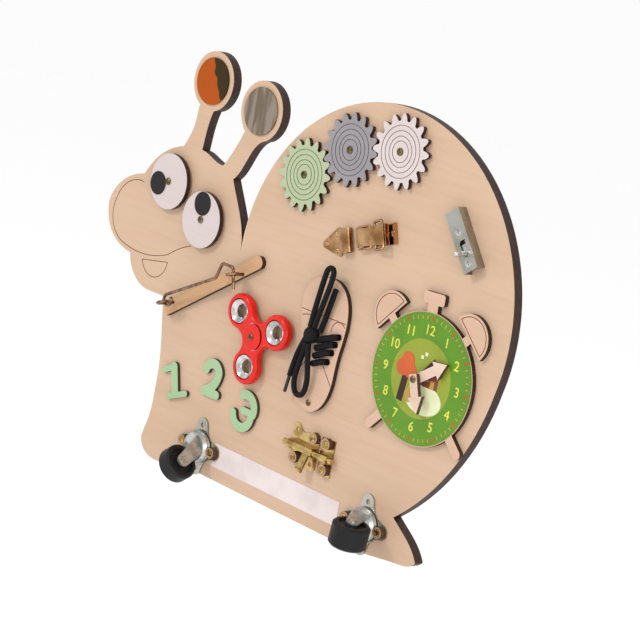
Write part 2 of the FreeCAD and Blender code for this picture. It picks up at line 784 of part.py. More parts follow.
def lever_solid():
    metal = size("latch_sheet")
    start = size("lever_start")
    end = size("lever_end")
    top = size("lever_height")
    low = top - size("lever_flange")

    def wedge(inset, bottom, height, first, last):
        points = [(first, -lever_half(first) + inset), (last, -lever_half(last) + inset),
                  (last, lever_half(last) - inset), (first, lever_half(first) - inset)]
        return flat_solid(polygon(points), height, bottom)

    outer = wedge(0, low, top - low, start, end)
    inner = wedge(metal, low - 1, top - metal - low + 1, start - 1, end - metal)
    shape = outer.cut(inner)
    holes = [(size("lever_pivot_s"), size("lever_pivot_height"), size("lever_pin_radius") + 0.08),
             (size("bail_pivot_s"), size("bail_pivot_height"), size("bail_wire_radius") + 0.08),
             (size("ring_pivot_s"), size("bail_pivot_height"), size("ring_wire_radius") + 0.08)]
    for s, height, radius in holes:
        shape = shape.cut(Part.makeCylinder(radius, 40, Vector(s, -20, height), Vector(0, 1, 0)))
    rounded = shape.makeFillet(0.4, [edge for edge in shape.Edges if is_top_edge(edge, top)])
    return rounded


def is_top_edge(edge, top):
    box = edge.BoundBox
    return abs(box.ZMin - top) < 0.01 and abs(box.ZMax - top) < 0.01


def bail_solid(pivot_s, height, reach, wire, inner_half, foot_end, direction):
    """A bent wire: two feet in the lever's flanges, two arms and the bar across their ends."""
    arm = inner_half + wire
    feet = foot_end
    tip = pivot_s + direction * reach
    points = [(pivot_s, -feet, height), (pivot_s, -arm, height), (tip, -arm, height),
              (tip, arm, height), (pivot_s, arm, height), (pivot_s, feet, height)]
    return bent_wire(points, wire, 1.6 * wire)


def bent_wire(points, radius, bend):
    """A round wire of straight runs and equal small bends."""
    vectors = [Vector(*p) for p in points]
    section = Part.Wire(Part.Circle(vectors[0], vectors[1].sub(vectors[0]), radius).toShape())
    return Part.Wire(bent_edges(vectors, bend)).makePipeShell([section], True, False)


def bent_edges(vectors, bend):
    """Straight runs between corners that are rounded to one bend radius."""
    edges = []
    last = vectors[0]
    for before, corner, after in zip(vectors, vectors[1:], vectors[2:]):
        into = corner.sub(before).normalize()
        out = after.sub(corner).normalize()
        turn = into.getAngle(out)
        trim = bend * math.tan(turn / 2)
        start = corner.sub(Vector(into).multiply(trim))
        end = corner.add(Vector(out).multiply(trim))
        inward = Vector(out).sub(into).normalize()
        middle = corner.add(inward.multiply(bend / math.cos(turn / 2) - bend))
        edges.append(Part.LineSegment(last, start).toShape())
        edges.append(Part.Arc(start, middle, end).toShape())
        last = end
    edges.append(Part.LineSegment(last, vectors[-1]).toShape())
    return edges


def make_latch():
    latch_feature("catch_plate", catch_plate_solid())
    latch_feature("latch_base", latch_base_solid())
    latch_feature("latch_lever", lever_solid())
    pivot = size("lever_pivot_s")
    pin_half = lever_half(pivot)
    pin = Part.makeCylinder(size("lever_pin_radius"), 2 * pin_half,
                            Vector(pivot, -pin_half, size("lever_pivot_height")), Vector(0, 1, 0))
    metal = size("latch_sheet")
    rivets = [rivet_solid().translated(Vector(s, t, 0)) for s, t in CATCH_RIVETS]
    screws = [screw_solid(metal, 2.6, 1).translated(Vector(s, t, 0)) for s, t in LATCH_BASE_SCREWS]
    latch_feature("latch_rivets", Part.makeCompound(rivets + screws + [pin]))
    bail_s = size("bail_pivot_s")
    wire = size("bail_wire_radius")
    bail = bail_solid(bail_s, size("bail_pivot_height"), size("bail_reach"), wire,
                      lever_half(bail_s) + size("bail_gap"), lever_inner_half(bail_s) + 0.1, -1)
    latch_feature("latch_bail", bail)
    ring_s = size("ring_pivot_s")
    ring = bail_solid(ring_s, size("bail_pivot_height"), size("ring_reach"), size("ring_wire_radius"),
                      size("ring_inner_half_width"), lever_inner_half(ring_s) + 0.1, 1)
    rest_on = size("lever_height") + size("ring_wire_radius") + 0.2 - size("bail_pivot_height")
    tilt = math.degrees(math.asin(rest_on / size("ring_reach")))
    ring = ring.rotated(Vector(ring_s, 0, size("bail_pivot_height")), Vector(0, 1, 0), -tilt)
    latch_feature("latch_ring", ring)


# Housing bolt: a folded steel case over a round bolt whose knob runs in an L-shaped slot
def case_feature(name, shape):
    return keep(solid_feature(name, onto_front(shape, *CASE, 0, size("case_turn"))), name)


def make_case_bolt():
    length = size("case_length")
    width = size("case_width")
    height = size("case_height")
    metal = size("case_sheet")
    bolt_radius = size("case_bolt_radius")
    knob = size("case_knob_radius")
    knob_s = 10.4
    travel = size("case_bolt_travel")
    axis = height - metal - bolt_radius - 0.35
    outer = Part.makeBox(length, width, height, Vector(-length / 2, -width / 2, 0))
    inner = Part.makeBox(length + 2, width - 2 * metal, height - metal,
                         Vector(-length / 2 - 1, -width / 2 + metal, 0))
    case = outer.cut(inner)
    half = knob + 0.3
    slot = Part.makeBox(travel, 2 * half, 3, Vector(knob_s - travel, -half, height - 2))
    for end in (knob_s, knob_s - travel):
        slot = slot.fuse(Part.makeCylinder(half, 3, Vector(end, 0, height - 2)))
    branch = Part.makeBox(2 * half, 3.6, 3, Vector(knob_s - travel - half, 0, height - 2))
    case = case.cut(slot).cut(branch)
    head = 3.1
    for end in ("case_screw_near", "case_screw_far"):
        seat = countersunk_shape(height, head, size("pilot_clearance"))
        case = case.cut(seat.translated(Vector(size(end), 0, 0)))
    case_feature("bolt_case", case)
    screws = [countersunk_solid(height, head).translated(Vector(size(a), 0, 0))
              for a in ("case_screw_near", "case_screw_far")]
    case_feature("bolt_case_screws", Part.makeCompound(screws))
    bar_start = 0.5 - length / 2
    bar_end = size("case_screw_far") - size("case_bolt_end_gap")
    bar = Part.makeBox(bar_end - bar_start, 2 * bolt_radius, 2 * bolt_radius,
                       Vector(bar_start, -bolt_radius, axis - bolt_radius))
    passage_half = PILOT + 0.35
    passage = Part.makeBox(travel + 2 * passage_half, 2 * passage_half, 12,
                           Vector(size("case_screw_near") - passage_half, -passage_half, -1))
    bar = bar.cut(passage)
    top = height + size("case_knob_rise")
    stem = Part.makeCylinder(knob, top - knob - axis, Vector(knob_s, 0, axis))
    tip = Part.makeSphere(knob, Vector(knob_s, 0, top - knob))
    case_feature("case_bolt", bar.fuse(stem).fuse(tip))


# Collar: a wooden strip, two screw eyes and the hook that joins them
def eyelet_solid(rise):
    """A wire shank in the board that ends in a ring whose hole lies across the hook's swing."""
    wire = size("eye_wire_radius")
    loop = size("eye_loop_radius")
    shank = Part.makeCylinder(wire, size("screw_depth") + rise - loop, Vector(0, 0, -size("screw_depth")))
    ring = Part.makeTorus(loop, wire, Vector(0, 0, rise), Vector(0, 1, 0))
    return shank.fuse(ring)


def eyelet_place(side):
    return (size(f"{side}_eyelet_x"), size(f"{side}_eyelet_z"))


def make_collar():
    length = size("strip_length")
    half = size("strip_width") / 2
    outline = [
        line((0, -half), (length - half, -half)),
        arc((length - half, -half), (length, 0), (length - half, half)),
        line((length - half, half), (0, half)),
        line((0, half), (0, -half)),
    ]
    strip = plate("strip_sheet", outline, "strip_thickness")
    doc.recompute()
    shape = onto_front(strip.Shape, size("strip_x"), size("strip_z"), 0, size("strip_turn"))
    hole = Part.makeCylinder(size("eye_wire_radius") + 0.05, 10, Vector(0, 0, -1))
    for side in ("left", "right"):
        place = eyelet_place(side)
        shape = shape.cut(onto_front(hole, *place))
        solid = onto_front(eyelet_solid(size("eyelet_rise")), *place, 0, size(f"{side}_eyelet_turn"))
        keep(solid_feature(f"screw_eye_{side}", solid), f"screw_eye_{side}")
    keep(solid_feature("collar_strip", shape), "collar_strip")
    keep(solid_feature("hook", onto_front(hook_solid(), 0, 0, size("eyelet_rise"))), "hook")


def hook_solid():
    """A closed loop round the left ring's wire, a straight shank, and a tail down through the right ring."""
    loop = size("hook_loop_radius")
    heading = size("shank_turn")
    ring_wire = polar(size("eye_loop_radius"), size("left_eyelet_turn"), eyelet_place("left"))
    centre = (ring_wire[0] + 0.6, ring_wire[1] + 1.45)
    loop_end = polar(loop, 40, centre)
    far_side = polar(loop, heading + 270, centre)
    tangent = polar(loop, heading + 90, centre)
    right = eyelet_place("right")
    points = [tangent, polar(61.4, heading, tangent), (right[0] - 14, right[1] + 5.4),
              (right[0] - 1, right[1] + 5.4), (right[0] + 3.8, right[1] - 11.2)]
    edges = [arc(loop_end, far_side, tangent).toShape()]
    edges += bent_edges([Vector(x, z, 0) for x, z in points], size("hook_bend"))
    start = Vector(loop_end[0], loop_end[1], 0)
    along_loop = Vector(start.y - centre[1], centre[0] - start.x, 0)
    section = Part.Wire(Part.Circle(start, along_loop, size("hook_wire_radius")).toShape())
    return Part.Wire(edges).makePipeShell([section], True, False)


# Fidget spinner on its own ball bearing
def spinner_outline():
    arm = size("spinner_arm")
    lobe = size("spinner_lobe_radius")
    waist = size("spinner_waist")
    hollow = (arm ** 2 + waist ** 2 - arm * waist - lobe ** 2) / (2 * lobe + arm - 2 * waist)
    edges = []
    for number in range(3):
        angle = 120 * number
        centre = polar(arm, angle)
        before = polar(waist + hollow, angle - 60)
        after = polar(waist + hollow, angle + 60)
        share = lobe / (lobe + hollow)
        start = tuple(c + share * (b - c) for c, b in zip(centre, before))
        end = tuple(c + share * (a - c) for c, a in zip(centre, after))
        far = polar(arm, angle + 120)
        next_start = tuple(c + share * (a - c) for c, a in zip(far, after))
        edges.append(arc(start, polar(arm + lobe, angle), end))
        edges.append(arc(end, polar(waist, angle + 60), next_start))
    return edges


def make_spinner():
    thick = size("spinner_thickness")
    gap = size("spinner_gap")
    place = SPINNER
    turn = size("spinner_turn")
    body = plate("spinner_blank", spinner_outline(), "spinner_thickness")
    doc.recompute()
    rim = [e for e in body.Shape.Edges if abs(e.BoundBox.ZMax - e.BoundBox.ZMin) < 0.01]
    shape = body.Shape.makeFillet(size("spinner_edge"), rim)
    bearing_radius = size("bearing_radius")
    shape = shape.cut(Part.makeCylinder(bearing_radius, 20, Vector(0, 0, -5)))
    seat = (thick - size("weight_thickness")) / 2
    weights = []
    for number in range(3):
        x, y = polar(size("spinner_arm"), 120 * number)
        shape = shape.cut(Part.makeCylinder(size("weight_radius"), 20, Vector(x, y, -5)))
        weights.append(weight_solid().translated(Vector(x, y, seat)))
    keep(solid_feature("spinner_body", onto_front(shape, *place, gap, turn)), "spinner_body")
    rings = Part.makeCompound(weights)
    keep(solid_feature("spinner_weights", onto_front(rings, *place, gap, turn)), "spinner_weights")
    make_bearing(place, gap + (thick - size("bearing_thickness")) / 2)
    top = gap + thick + 0.3
    rise = size("cap_rise")
    post = size("bearing_bore_radius") - 0.03
    shoulder = size("bearing_bore_radius") + 1.2
    bearing_top = gap + (thick + size("bearing_thickness")) / 2
    rim = size("cap_radius")
    cap = turned_solid([(BORE, bearing_top), (shoulder, bearing_top), (shoulder, top), (rim - 0.6, top),
                        (rim, top + 0.5), (rim - 0.8, top + rise), (BORE, top + rise)])
    keep(solid_feature("spinner_cap", onto_front(cap, *place)), "spinner_cap")
    seat = gap + (thick - size("bearing_thickness")) / 2
    spacer = turned_solid([(BORE, 0), (shoulder, 0), (shoulder, seat), (post, seat),
                           (post, bearing_top - 0.1), (BORE, bearing_top - 0.1)])
    PIVOT_SPACERS.append(onto_front(spacer, *place))
    PIVOT_SCREWS.append(onto_front(screw_solid(top + rise, 2.6, 1.2), *place))


def turned_solid(points):
    vectors = [Vector(r, 0, z) for r, z in points]
    face = Part.Face(Part.makePolygon(vectors + vectors[:1]))
    return face.revolve(Vector(0, 0, 0), Vector(0, 0, 1), 360)


def weight_solid():
    outer = size("weight_radius")
    hole = size("weight_hole_radius")
    thick = size("weight_thickness")
    bevel = 1.3
    return turned_solid([(hole, bevel), (hole + bevel, 0.3), (outer - 1, 0.3), (outer, 1.2),
                         (outer, thick - 1.2), (outer - 1, thick), (outer - 1.8, thick - 0.5),
                         (hole + bevel, thick - 1.5), (hole, thick - 1.5 - bevel)])


def make_bearing(place, lift):
    """Outer ring, inner ring and balls between them."""
    outer = size("bearing_radius")
    bore = size("bearing_bore_radius")
    thick = size("bearing_thickness")
    ball = size("ball_radius")
    track = (outer + bore) / 2
    groove = Part.makeTorus(track, ball + 0.05, Vector(0, 0, thick / 2))
    outer_ring = washer_solid(outer, thick, track + ball * 0.55).cut(groove)
    inner_ring = washer_solid(track - ball * 0.55, thick, bore).cut(groove)
    balls = []
    for number in range(int(size("ball_count"))):
        x, y = polar(track, 360 / int(size("ball_count")) * number)
        balls.append(Part.makeSphere(ball, Vector(x, y, thick / 2)))
    keep(solid_feature("bearing_outer_ring", onto_front(outer_ring, *place, lift)), "bearing_outer_ring")
    keep(solid_feature("bearing_inner_ring", onto_front(inner_ring, *place, lift)), "bearing_inner_ring")
    keep(solid_feature("bearing_balls", onto_front(Part.makeCompound(balls), *place, lift)), "bearing_balls")


# Shoe sole with scored lines, and its lace
SHOE_EDGE = [
    (-33.8, 4.5), (-21.8, 1.2), (-14.5, -6.5), (-11, -16.5), (-10.1, -28), (-11.3, -40), (-13.5, -56),
    (-14.3, -73.5), (-17.2, -86), (-24, -96), (-34, -100.3), (-44.5, -96.8), (-52.3, -86.5), (-55.4, -70.5),
    (-55.8, -50.5), (-58.3, -36), (-61.2, -22.5), (-60.6, -12), (-55.6, -3.2), (-46.2, 2.8),
]
ROW_ENDS = [((-35, -44), (-15.3, -36.5)), ((-35, -50.2), (-17.6, -43)),
            ((-35.2, -56.4), (-19.8, -50)), ((-35.4, -62.6), (-22.5, -57.9))]


def make_shoe():
    thick = size("shoe_thickness")
    blank = Part.Face(Part.Wire(closed_curve(SHOE_EDGE).toShape())).extrude(Vector(0, 0, thick))
    scores = [
        [line((-60.2, -25.2), (-11.2, -25.2))],
        [arc((-25, -35), (-23.5, -28.5), (-11.6, -28.2))],
        [arc((-58.4, -30), (-50, -27.8), (-42, -27.8))],
        [line((-28.5, -60), (-15.4, -74.6))],
        [line((-44, -60), (-54.6, -76))],
    ]
    for path in scores:
        blank = blank.cut(score_solid(path, thick))
    blank = blank.cut(Part.makeCylinder(PILOT, 3 * thick, Vector(*SHOE_SCREW, -thick)))
    row = size("row_radius")
    for _, end in ROW_ENDS:
        blank = blank.cut(Part.makeCylinder(row + 0.1, 3 * thick, Vector(*end, -thick)))
    keep(solid_feature("shoe_sole", onto_front(blank, 0, 0)), "shoe_sole")
    PIVOT_SCREWS.append(onto_front(screw_solid(thick, 2.4, 1.1), *SHOE_SCREW))


# Lace routes: across, up and out from the board's front
KNOT = (-39.8, -41.2, 9.4)
TOP_LOOP = [(-41.6, -35, 10.4), (-38.9, -22, 11.8), (-35.6, -8, 13), (-32.9, 4.5, 13.8),
            (-30.4, 14.4, 14.2), (-23.4, 14.2, 14.2), (-24.6, 4.4, 13.8), (-28.2, -7.4, 13),
            (-32.8, -21, 11.8), (-37.1, -34.4, 10.4)]
BOTTOM_LOOP = [(-42.8, -47.8, 10), (-45.4, -58, 9.2), (-48.8, -69.6, 8.6), (-50.6, -81, 8.4),
               (-46.4, -90.4, 8.4), (-38.2, -89.2, 8.4), (-35.4, -79.6, 8.8), (-35.2, -69, 10.6),
               (-36.4, -58, 12.4), (-38.2, -47.6, 12.2)]
SHORT_TAIL = [(-33.4, -37.4, 7), (-30.8, -28, 7), (-27.8, -15, 7.4), (-24.2, -1.6, 8)]
LONG_TAIL = [(-46.2, -43.4, 7.4), (-51.4, -53.6, 7), (-55.2, -66, 7), (-56.6, -78.4, 7.6)]
AGLET = [(-56.6, -78.4, 7.6), (-58.1, -91.7, 8.25)]


def make_lace():
    lace = size("lace_radius")
    thick = size("shoe_thickness")
    row = size("row_radius")
    row_routes = []
    for start, end in ROW_ENDS:
        lift = thick + row + size("soft_clearance")
        points = [(start[0], start[1], lift), (end[0] - 4.5, end[1] - 1.2, lift),
                  (end[0], end[1], lift - 1), (end[0], end[1], 0.4)]
        row_routes.append(points)
    group("lace_rows", [onto_front(row_solid(points, row), 0, 0) for points in row_routes])
    half = size("knot_height") / 2
    knot = Part.makeCylinder(size("knot_radius"), 2 * half, Vector(KNOT[0], KNOT[1], KNOT[2] - half))
    knot = knot.makeFillet(half * 0.9, [e for e in knot.Edges if e.Curve.TypeId == "Part::GeomCircle"])
    loose = lace + size("soft_clearance")
    for name, route in (("lace_top_loop", TOP_LOOP), ("lace_bottom_loop", BOTTOM_LOOP),
                        ("lace_short_tail", SHORT_TAIL), ("lace_long_tail", LONG_TAIL)):
        keep(solid_feature(name, onto_front(tube_along(route, lace), 0, 0)), name)
        knot = knot.cut(tube_along(route, loose))
    for points in row_routes:
        knot = knot.cut(row_solid(points, loose)).cut(Part.makeSphere(loose, Vector(*points[0])))
    keep(solid_feature("lace_knot", onto_front(knot, 0, 0)), "lace_knot")
    tip = tube_along(AGLET, lace * 0.62)
    keep(solid_feature("lace_aglet", onto_front(tip, 0, 0)), "lace_aglet")


def row_solid(points, radius):
    vectors = [Vector(*p) for p in points]
    bar = Part.makeCylinder(radius, vectors[0].distanceToPoint(vectors[1]), vectors[0], vectors[1].sub(vectors[0]))
    bend = Part.makeSphere(radius, vectors[1])
    slope = Part.makeCylinder(radius, vectors[1].distanceToPoint(vectors[2]), vectors[1], vectors[2].sub(vectors[1]))
    cap = Part.makeSphere(radius, vectors[2])
    drop = Part.makeCylinder(radius, vectors[2].distanceToPoint(vectors[3]), vectors[2], vectors[3].sub(vectors[2]))
    return bar.fuse([bend, slope, cap, drop]).removeSplitter()


# Barrel bolt: a plate with a rolled barrel, a keeper and the sliding rod with its handle
def barrel_feature(name, shape):
    return keep(solid_feature(name, onto_front(shape, *BARREL)), name)


def rolled_saddle(first, last, radius, metal, rise, foot):
    """Sheet bent over the rod: an arch from x = first to last with its feet on the plate."""
    outer = Part.makeCylinder(radius + metal, last - first, Vector(first, 0, rise), Vector(1, 0, 0))
    body = Part.makeBox(last - first, 2 * (radius + metal), rise, Vector(first, -radius - metal, 0))
    feet = Part.makeBox(last - first, 2 * foot, metal, Vector(first, -foot, 0))
    bore = Part.makeCylinder(radius, last - first, Vector(first, 0, rise), Vector(1, 0, 0))
    return outer.fuse(body).fuse(feet).cut(bore)


def make_barrel_bolt():
    metal = size("barrel_sheet")
    radius = size("rod_radius") + size("rod_clearance")
    rise = size("rod_axis_rise")
    width = size("barrel_plate_width")
    height = size("barrel_plate_height")
    left = -width / 2
    plate_edge = [
        line((left, -8), (left, 8)),
        line((left, 8), (left + 1, height / 2)),
        line((left + 1, height / 2), (left + 6, height / 2)),
        arc((left + 6, height / 2), (left + 11, height / 2 - 4.5), (left + 16, height / 2 - 4)),
        line((left + 16, height / 2 - 4), (-left, height / 2 - 4)),
        line((-left, height / 2 - 4), (-left, -height / 2 + 4)),
        arc((-left, -height / 2 + 4), (-left - 5, -height / 2 + 0.5), (-left - 11, -height / 2 + 4)),
        line((-left - 11, -height / 2 + 4), (left, -height / 2 + 4)),
        line((left, -height / 2 + 4), (left, -8)),
    ]
    main = flat_solid(plate_edge, metal)
    slot = size("handle_width") + size("rod_travel")
    handle_x = 7.6
    main = main.fuse(rolled_saddle(left + 1, -left, radius, metal, rise, radius + metal))
    opening = Part.makeBox(slot + 0.6, 12, rise + 0.4, Vector(handle_x - slot + size("handle_width") / 2 - 0.3, -12, rise - 2.4))
    main = main.cut(opening)
    keeper_start = -left + size("keeper_gap")
    keeper_end = keeper_start + size("keeper_width")
    keeper = flat_solid(polygon([(keeper_start, -height / 2 + 2), (keeper_end, -height / 2 + 2),
                                 (keeper_end, height / 2 - 2), (keeper_start, height / 2 - 2)]), metal)
    keeper = keeper.fuse(rolled_saddle(keeper_start + 5, keeper_end, radius, metal, rise, radius + metal))
    bare = [Vector(left + 4.3, 11.6, -1), Vector(-left - 6, -10.7, -1)]
    washers = []
    screws = []
    lift = size("wood_washer_thickness")
    for x, z in MAIN_SCREWS + KEEPER_SCREWS:
        hole = Part.makeCylinder(PILOT, 10, Vector(x, z, -2))
        main = main.cut(hole)
        keeper = keeper.cut(hole)
        disc = washer_solid(size("wood_washer_radius"), lift, PILOT)
        washers.append(disc.translated(Vector(x, z, metal)))
        screws.append(brass_screw(metal + lift).translated(Vector(x, z, 0)))
    for base in bare:
        main = main.cut(Part.makeCylinder(1.8, 5, base))
    clear = radius + metal + 0.15
    for disc in washers:
        keep_out = Part.makeBox(120, 2 * clear, 12, Vector(-60, -clear, metal))
        if disc.common(keep_out).Volume > 0.001:
            raise ValueError("a wooden washer reaches the barrel")
    barrel_feature("barrel_plate", main)
    barrel_feature("barrel_keeper", keeper)
    WOODEN_WASHERS.extend(onto_front(disc, *BARREL) for disc in washers)
    BRASS_SCREWS.extend(onto_front(screw, *BARREL) for screw in screws)
    rod_start = -18.8
    rod = Part.makeCylinder(size("rod_radius"), size("rod_length"), Vector(rod_start, 0, rise), Vector(1, 0, 0))
    half = size("handle_width") / 2
    drop = size("handle_drop")
    shaft = Part.makeBox(2 * half, drop, 1.6, Vector(handle_x - half, -drop, rise - 0.8))
    curl = Part.makeCylinder(1.6, 2 * half, Vector(handle_x - half, -drop, rise + 0.6), Vector(1, 0, 0))
    handle = shaft.fuse(curl).rotated(Vector(0, 0, rise), Vector(1, 0, 0), -size("handle_slope"))
    barrel_feature("barrel_rod", rod.fuse(handle))


def brass_screw(grip):
    return screw_solid(grip, size("brass_head_radius"), 1.1)


# Clock: plywood shape, printed dial and two loose hands on one screw
def bell_edges(sign, inset=0.0):
    """A D-shaped bell whose straight side faces the dial, at 45 degrees to its side."""
    angle = 90 + sign * 45
    middle = polar(size("bell_distance") + inset, angle)
    half = size("bell_half_chord") - inset * 1.15
    one = polar(half, angle + 90, middle)
    other = polar(half, angle - 90, middle)
    top = polar(size("bell_distance") + size("bell_height") - inset, angle)
    return [line(one, other), arc(other, top, one)]


def bar_between(radius_start, radius_end, angle, width):
    start_left = polar(width / 2, angle + 90, polar(radius_start, angle))
    start_right = polar(width / 2, angle - 90, polar(radius_start, angle))
    end_left = polar(width / 2, angle + 90, polar(radius_end, angle))
    end_right = polar(width / 2, angle - 90, polar(radius_end, angle))
    tip = polar(radius_end + width / 2, angle)
    return [line(start_left, start_right), line(start_right, end_right),
            arc(end_right, tip, end_left), line(end_left, start_left)]


def make_clock():
    thick = size("clock_thickness")
    shape = Part.makeCylinder(size("clock_radius"), thick)
    for sign in (-1, 1):
        shape = shape.fuse(flat_solid(bell_edges(sign), thick))
        stem = bar_between(40, size("bell_distance") + 1, 90 + sign * 45, size("bell_stem_width"))
        shape = shape.fuse(flat_solid(stem, thick))
        leg = bar_between(40, size("leg_reach") - size("leg_width") / 2, 270 + sign * 45, size("leg_width"))
        shape = shape.fuse(flat_solid(leg, thick))
    knob_half = size("knob_width") / 2
    knob_low = size("knob_reach") - size("knob_height")
    corner = 2
    knob = Part.makeBox(2 * knob_half, size("knob_height"), thick, Vector(-knob_half, knob_low, 0))
    upright = [e for e in knob.Edges if abs(e.BoundBox.ZMax - e.BoundBox.ZMin) > thick / 2]
    knob = knob.makeFillet(corner, upright)
    neck = Part.makeBox(10, 30, thick, Vector(-5, knob_low - 28, 0))
    shape = shape.fuse(knob).fuse(neck)
    shape = shape.cut(Part.makeCylinder(PILOT, 3 * thick, Vector(0, 0, -thick)))
    for sign in (-1, 1):
        for edge in bell_edges(sign, 2):
            shape = shape.cut(score_solid([edge], thick))
    body = onto_front(shape.Solids[0], *CLOCK, 0, size("clock_turn"))
    keep(solid_feature("clock_body", body), "clock_body")
    dial = washer_solid(size("dial_radius"), size("dial_thickness"), PILOT)
    keep(solid_feature("clock_dial", onto_front(dial, *CLOCK, thick)), "clock_dial")
    face_height = thick + size("dial_thickness")
    spacer = washer_solid(size("hand_hub_radius"), size("hand_lift"), PILOT)
    between = washer_solid(size("hand_hub_radius") - 0.6, size("hand_gap"), PILOT)
    hand = size("hand_thickness")
    gap = 0.1
    low = face_height + size("hand_lift") + gap
    middle = low + hand + gap
    high = middle + size("hand_gap") + gap
    PIVOT_SPACERS.append(onto_front(spacer, *CLOCK, face_height))
    PIVOT_SPACERS.append(onto_front(between, *CLOCK, middle))
    make_hand("hand_long", size("long_hand_length"), size("long_hand_angle"), low)
    make_hand("hand_short", size("short_hand_length"), size("short_hand_angle"), high)
    PIVOT_SCREWS.append(onto_front(screw_solid(high + hand + gap, 2.6, 1.4), *CLOCK))


def make_hand(name, length, angle, lift):
    half = size("hand_width") / 2
    head = size("hand_head_width") / 2
    neck = length - size("hand_head_length")
    edges = [
        line((-half, -half), (neck, -half)),
        line((neck, -half), (neck, -head)),
        line((neck, -head), (length, 0)),
        line((length, 0), (neck, head)),
        line((neck, head), (neck, half)),
        line((neck, half), (-half, half)),
        line((-half, half), (-half, -half)),
        circle(BORE),
    ]
    body = plate(name, edges, "hand_thickness")
    body.Placement = Placement(Vector(CLOCK[0], -size("board_thickness") - lift, CLOCK[1]),
                               TO_FRONT.multiply(Rotation(Vector(0, 0, 1), angle)))
    keep(body, name)


# Digits: strokes of even width, cut from thin plywood and painted
def make_digit(name, strokes):
    thick = size("digit_thickness")
    shape = None
    for path, width in strokes:
        solid = stroke_face(path, width).extrude(Vector(0, 0, thick))
        shape = solid if shape is None else shape.fuse(solid)
    keep(solid_feature(name, onto_front(shape.removeSplitter(), 0, 0)), name)


def make_digits():
    make_digit("digit_one", [
        ([line((-195.2, -112.2), (-188.9, -133))], 8.2),
        ([line((-207, -118), (-196.5, -112.8))], 5),
        ([line((-196.3, -137.6), (-176.4, -129.8))], 5),
    ])
    make_digit("digit_two", [
        ([arc((-156.3, -102.2), (-148.5, -96), (-140.4, -102)),
          arc((-140.4, -102), (-143.4, -111.3), (-152.6, -119.2))], 8),
        ([line((-155.3, -120.3), (-139.6, -119.9))], 7.2),
    ])
    make_digit("digit_three", [
        ([arc((-108.6, -110), (-95.8, -112), (-93.6, -122))], 7.4),
        ([line((-93.6, -122), (-105.6, -121.9))], 6),
        ([arc((-95.6, -123.4), (-99.6, -133.6), (-116.4, -127))], 7.4),
    ])


def make_tape():
    tape = doc.addObject("Part::Box", "tape")
    tape.setExpression("Length", cell("tape_length"))
    tape.setExpression("Width", cell("tape_width"))
    tape.setExpression("Height", cell("tape_thickness"))
    stand(tape, "tape_x - tape_length / 2", "tape_z - tape_width / 2")
    rooms = []
    for side, way in (("left", "+"), ("right", "-")):
        for spot, radius, reach in (("lug", "caster_lug_radius + 1", "caster_lug_distance"),
                                    ("hub", "caster_lug_distance", "0")):
            room = doc.addObject("Part::Cylinder", f"tape_{side}_{spot}_room")
            room.setExpression("Radius", cell(radius))
            room.setExpression("Height", cell("tape_thickness * 3"))
            stand(room, f"{side}_caster_x {way} {reach}", f"{side}_caster_z", "-1 * tape_thickness")
            rooms.append(room)
    caster_room = doc.addObject("Part::MultiFuse", "tape_caster_room")
    caster_room.Shapes = rooms
    strip = doc.addObject("Part::Cut", "white_strip")
    strip.Base = tape
    strip.Tool = caster_room
    keep(strip, "white_strip")


# Casters: a four-lug plate on the board, a swivelling fork and a wheel on its axle
def caster_plate_solid():
    lug = size("caster_lug_radius")
    distance = size("caster_lug_distance")
    metal = size("caster_plate_sheet")
    race = size("race_radius")
    shape = Part.makeCylinder(race + 1, metal)
    for angle in (0, 90, 180, 270):
        x, y = polar(distance, angle)
        arm = Part.makeCylinder(lug, metal, Vector(x, y, 0))
        side_one = polar(lug, angle + 90, (x, y))
        side_two = polar(lug, angle - 90, (x, y))
        hub_two = polar(race, angle - 42)
        hub_one = polar(race, angle + 42)
        web = flat_solid(polygon([side_one, side_two, hub_two, hub_one]), metal)
        shape = shape.fuse(arm).fuse(web)
    shape = shape.removeSplitter()
    for angle in (0, 90, 180, 270):
        x, y = polar(distance, angle)
        shape = shape.cut(Part.makeCylinder(PILOT + 0.3, 3 * metal, Vector(x, y, -metal)))
    raised = turned_solid([(0, metal - 0.5), (race, metal - 0.5), (race - 1, metal + 1.6), (0, metal + 1.6)])
    hole = Part.makeCylinder(size("kingpin_radius"), 20, Vector(0, 0, -5))
    return shape.fuse(raised).cut(hole)


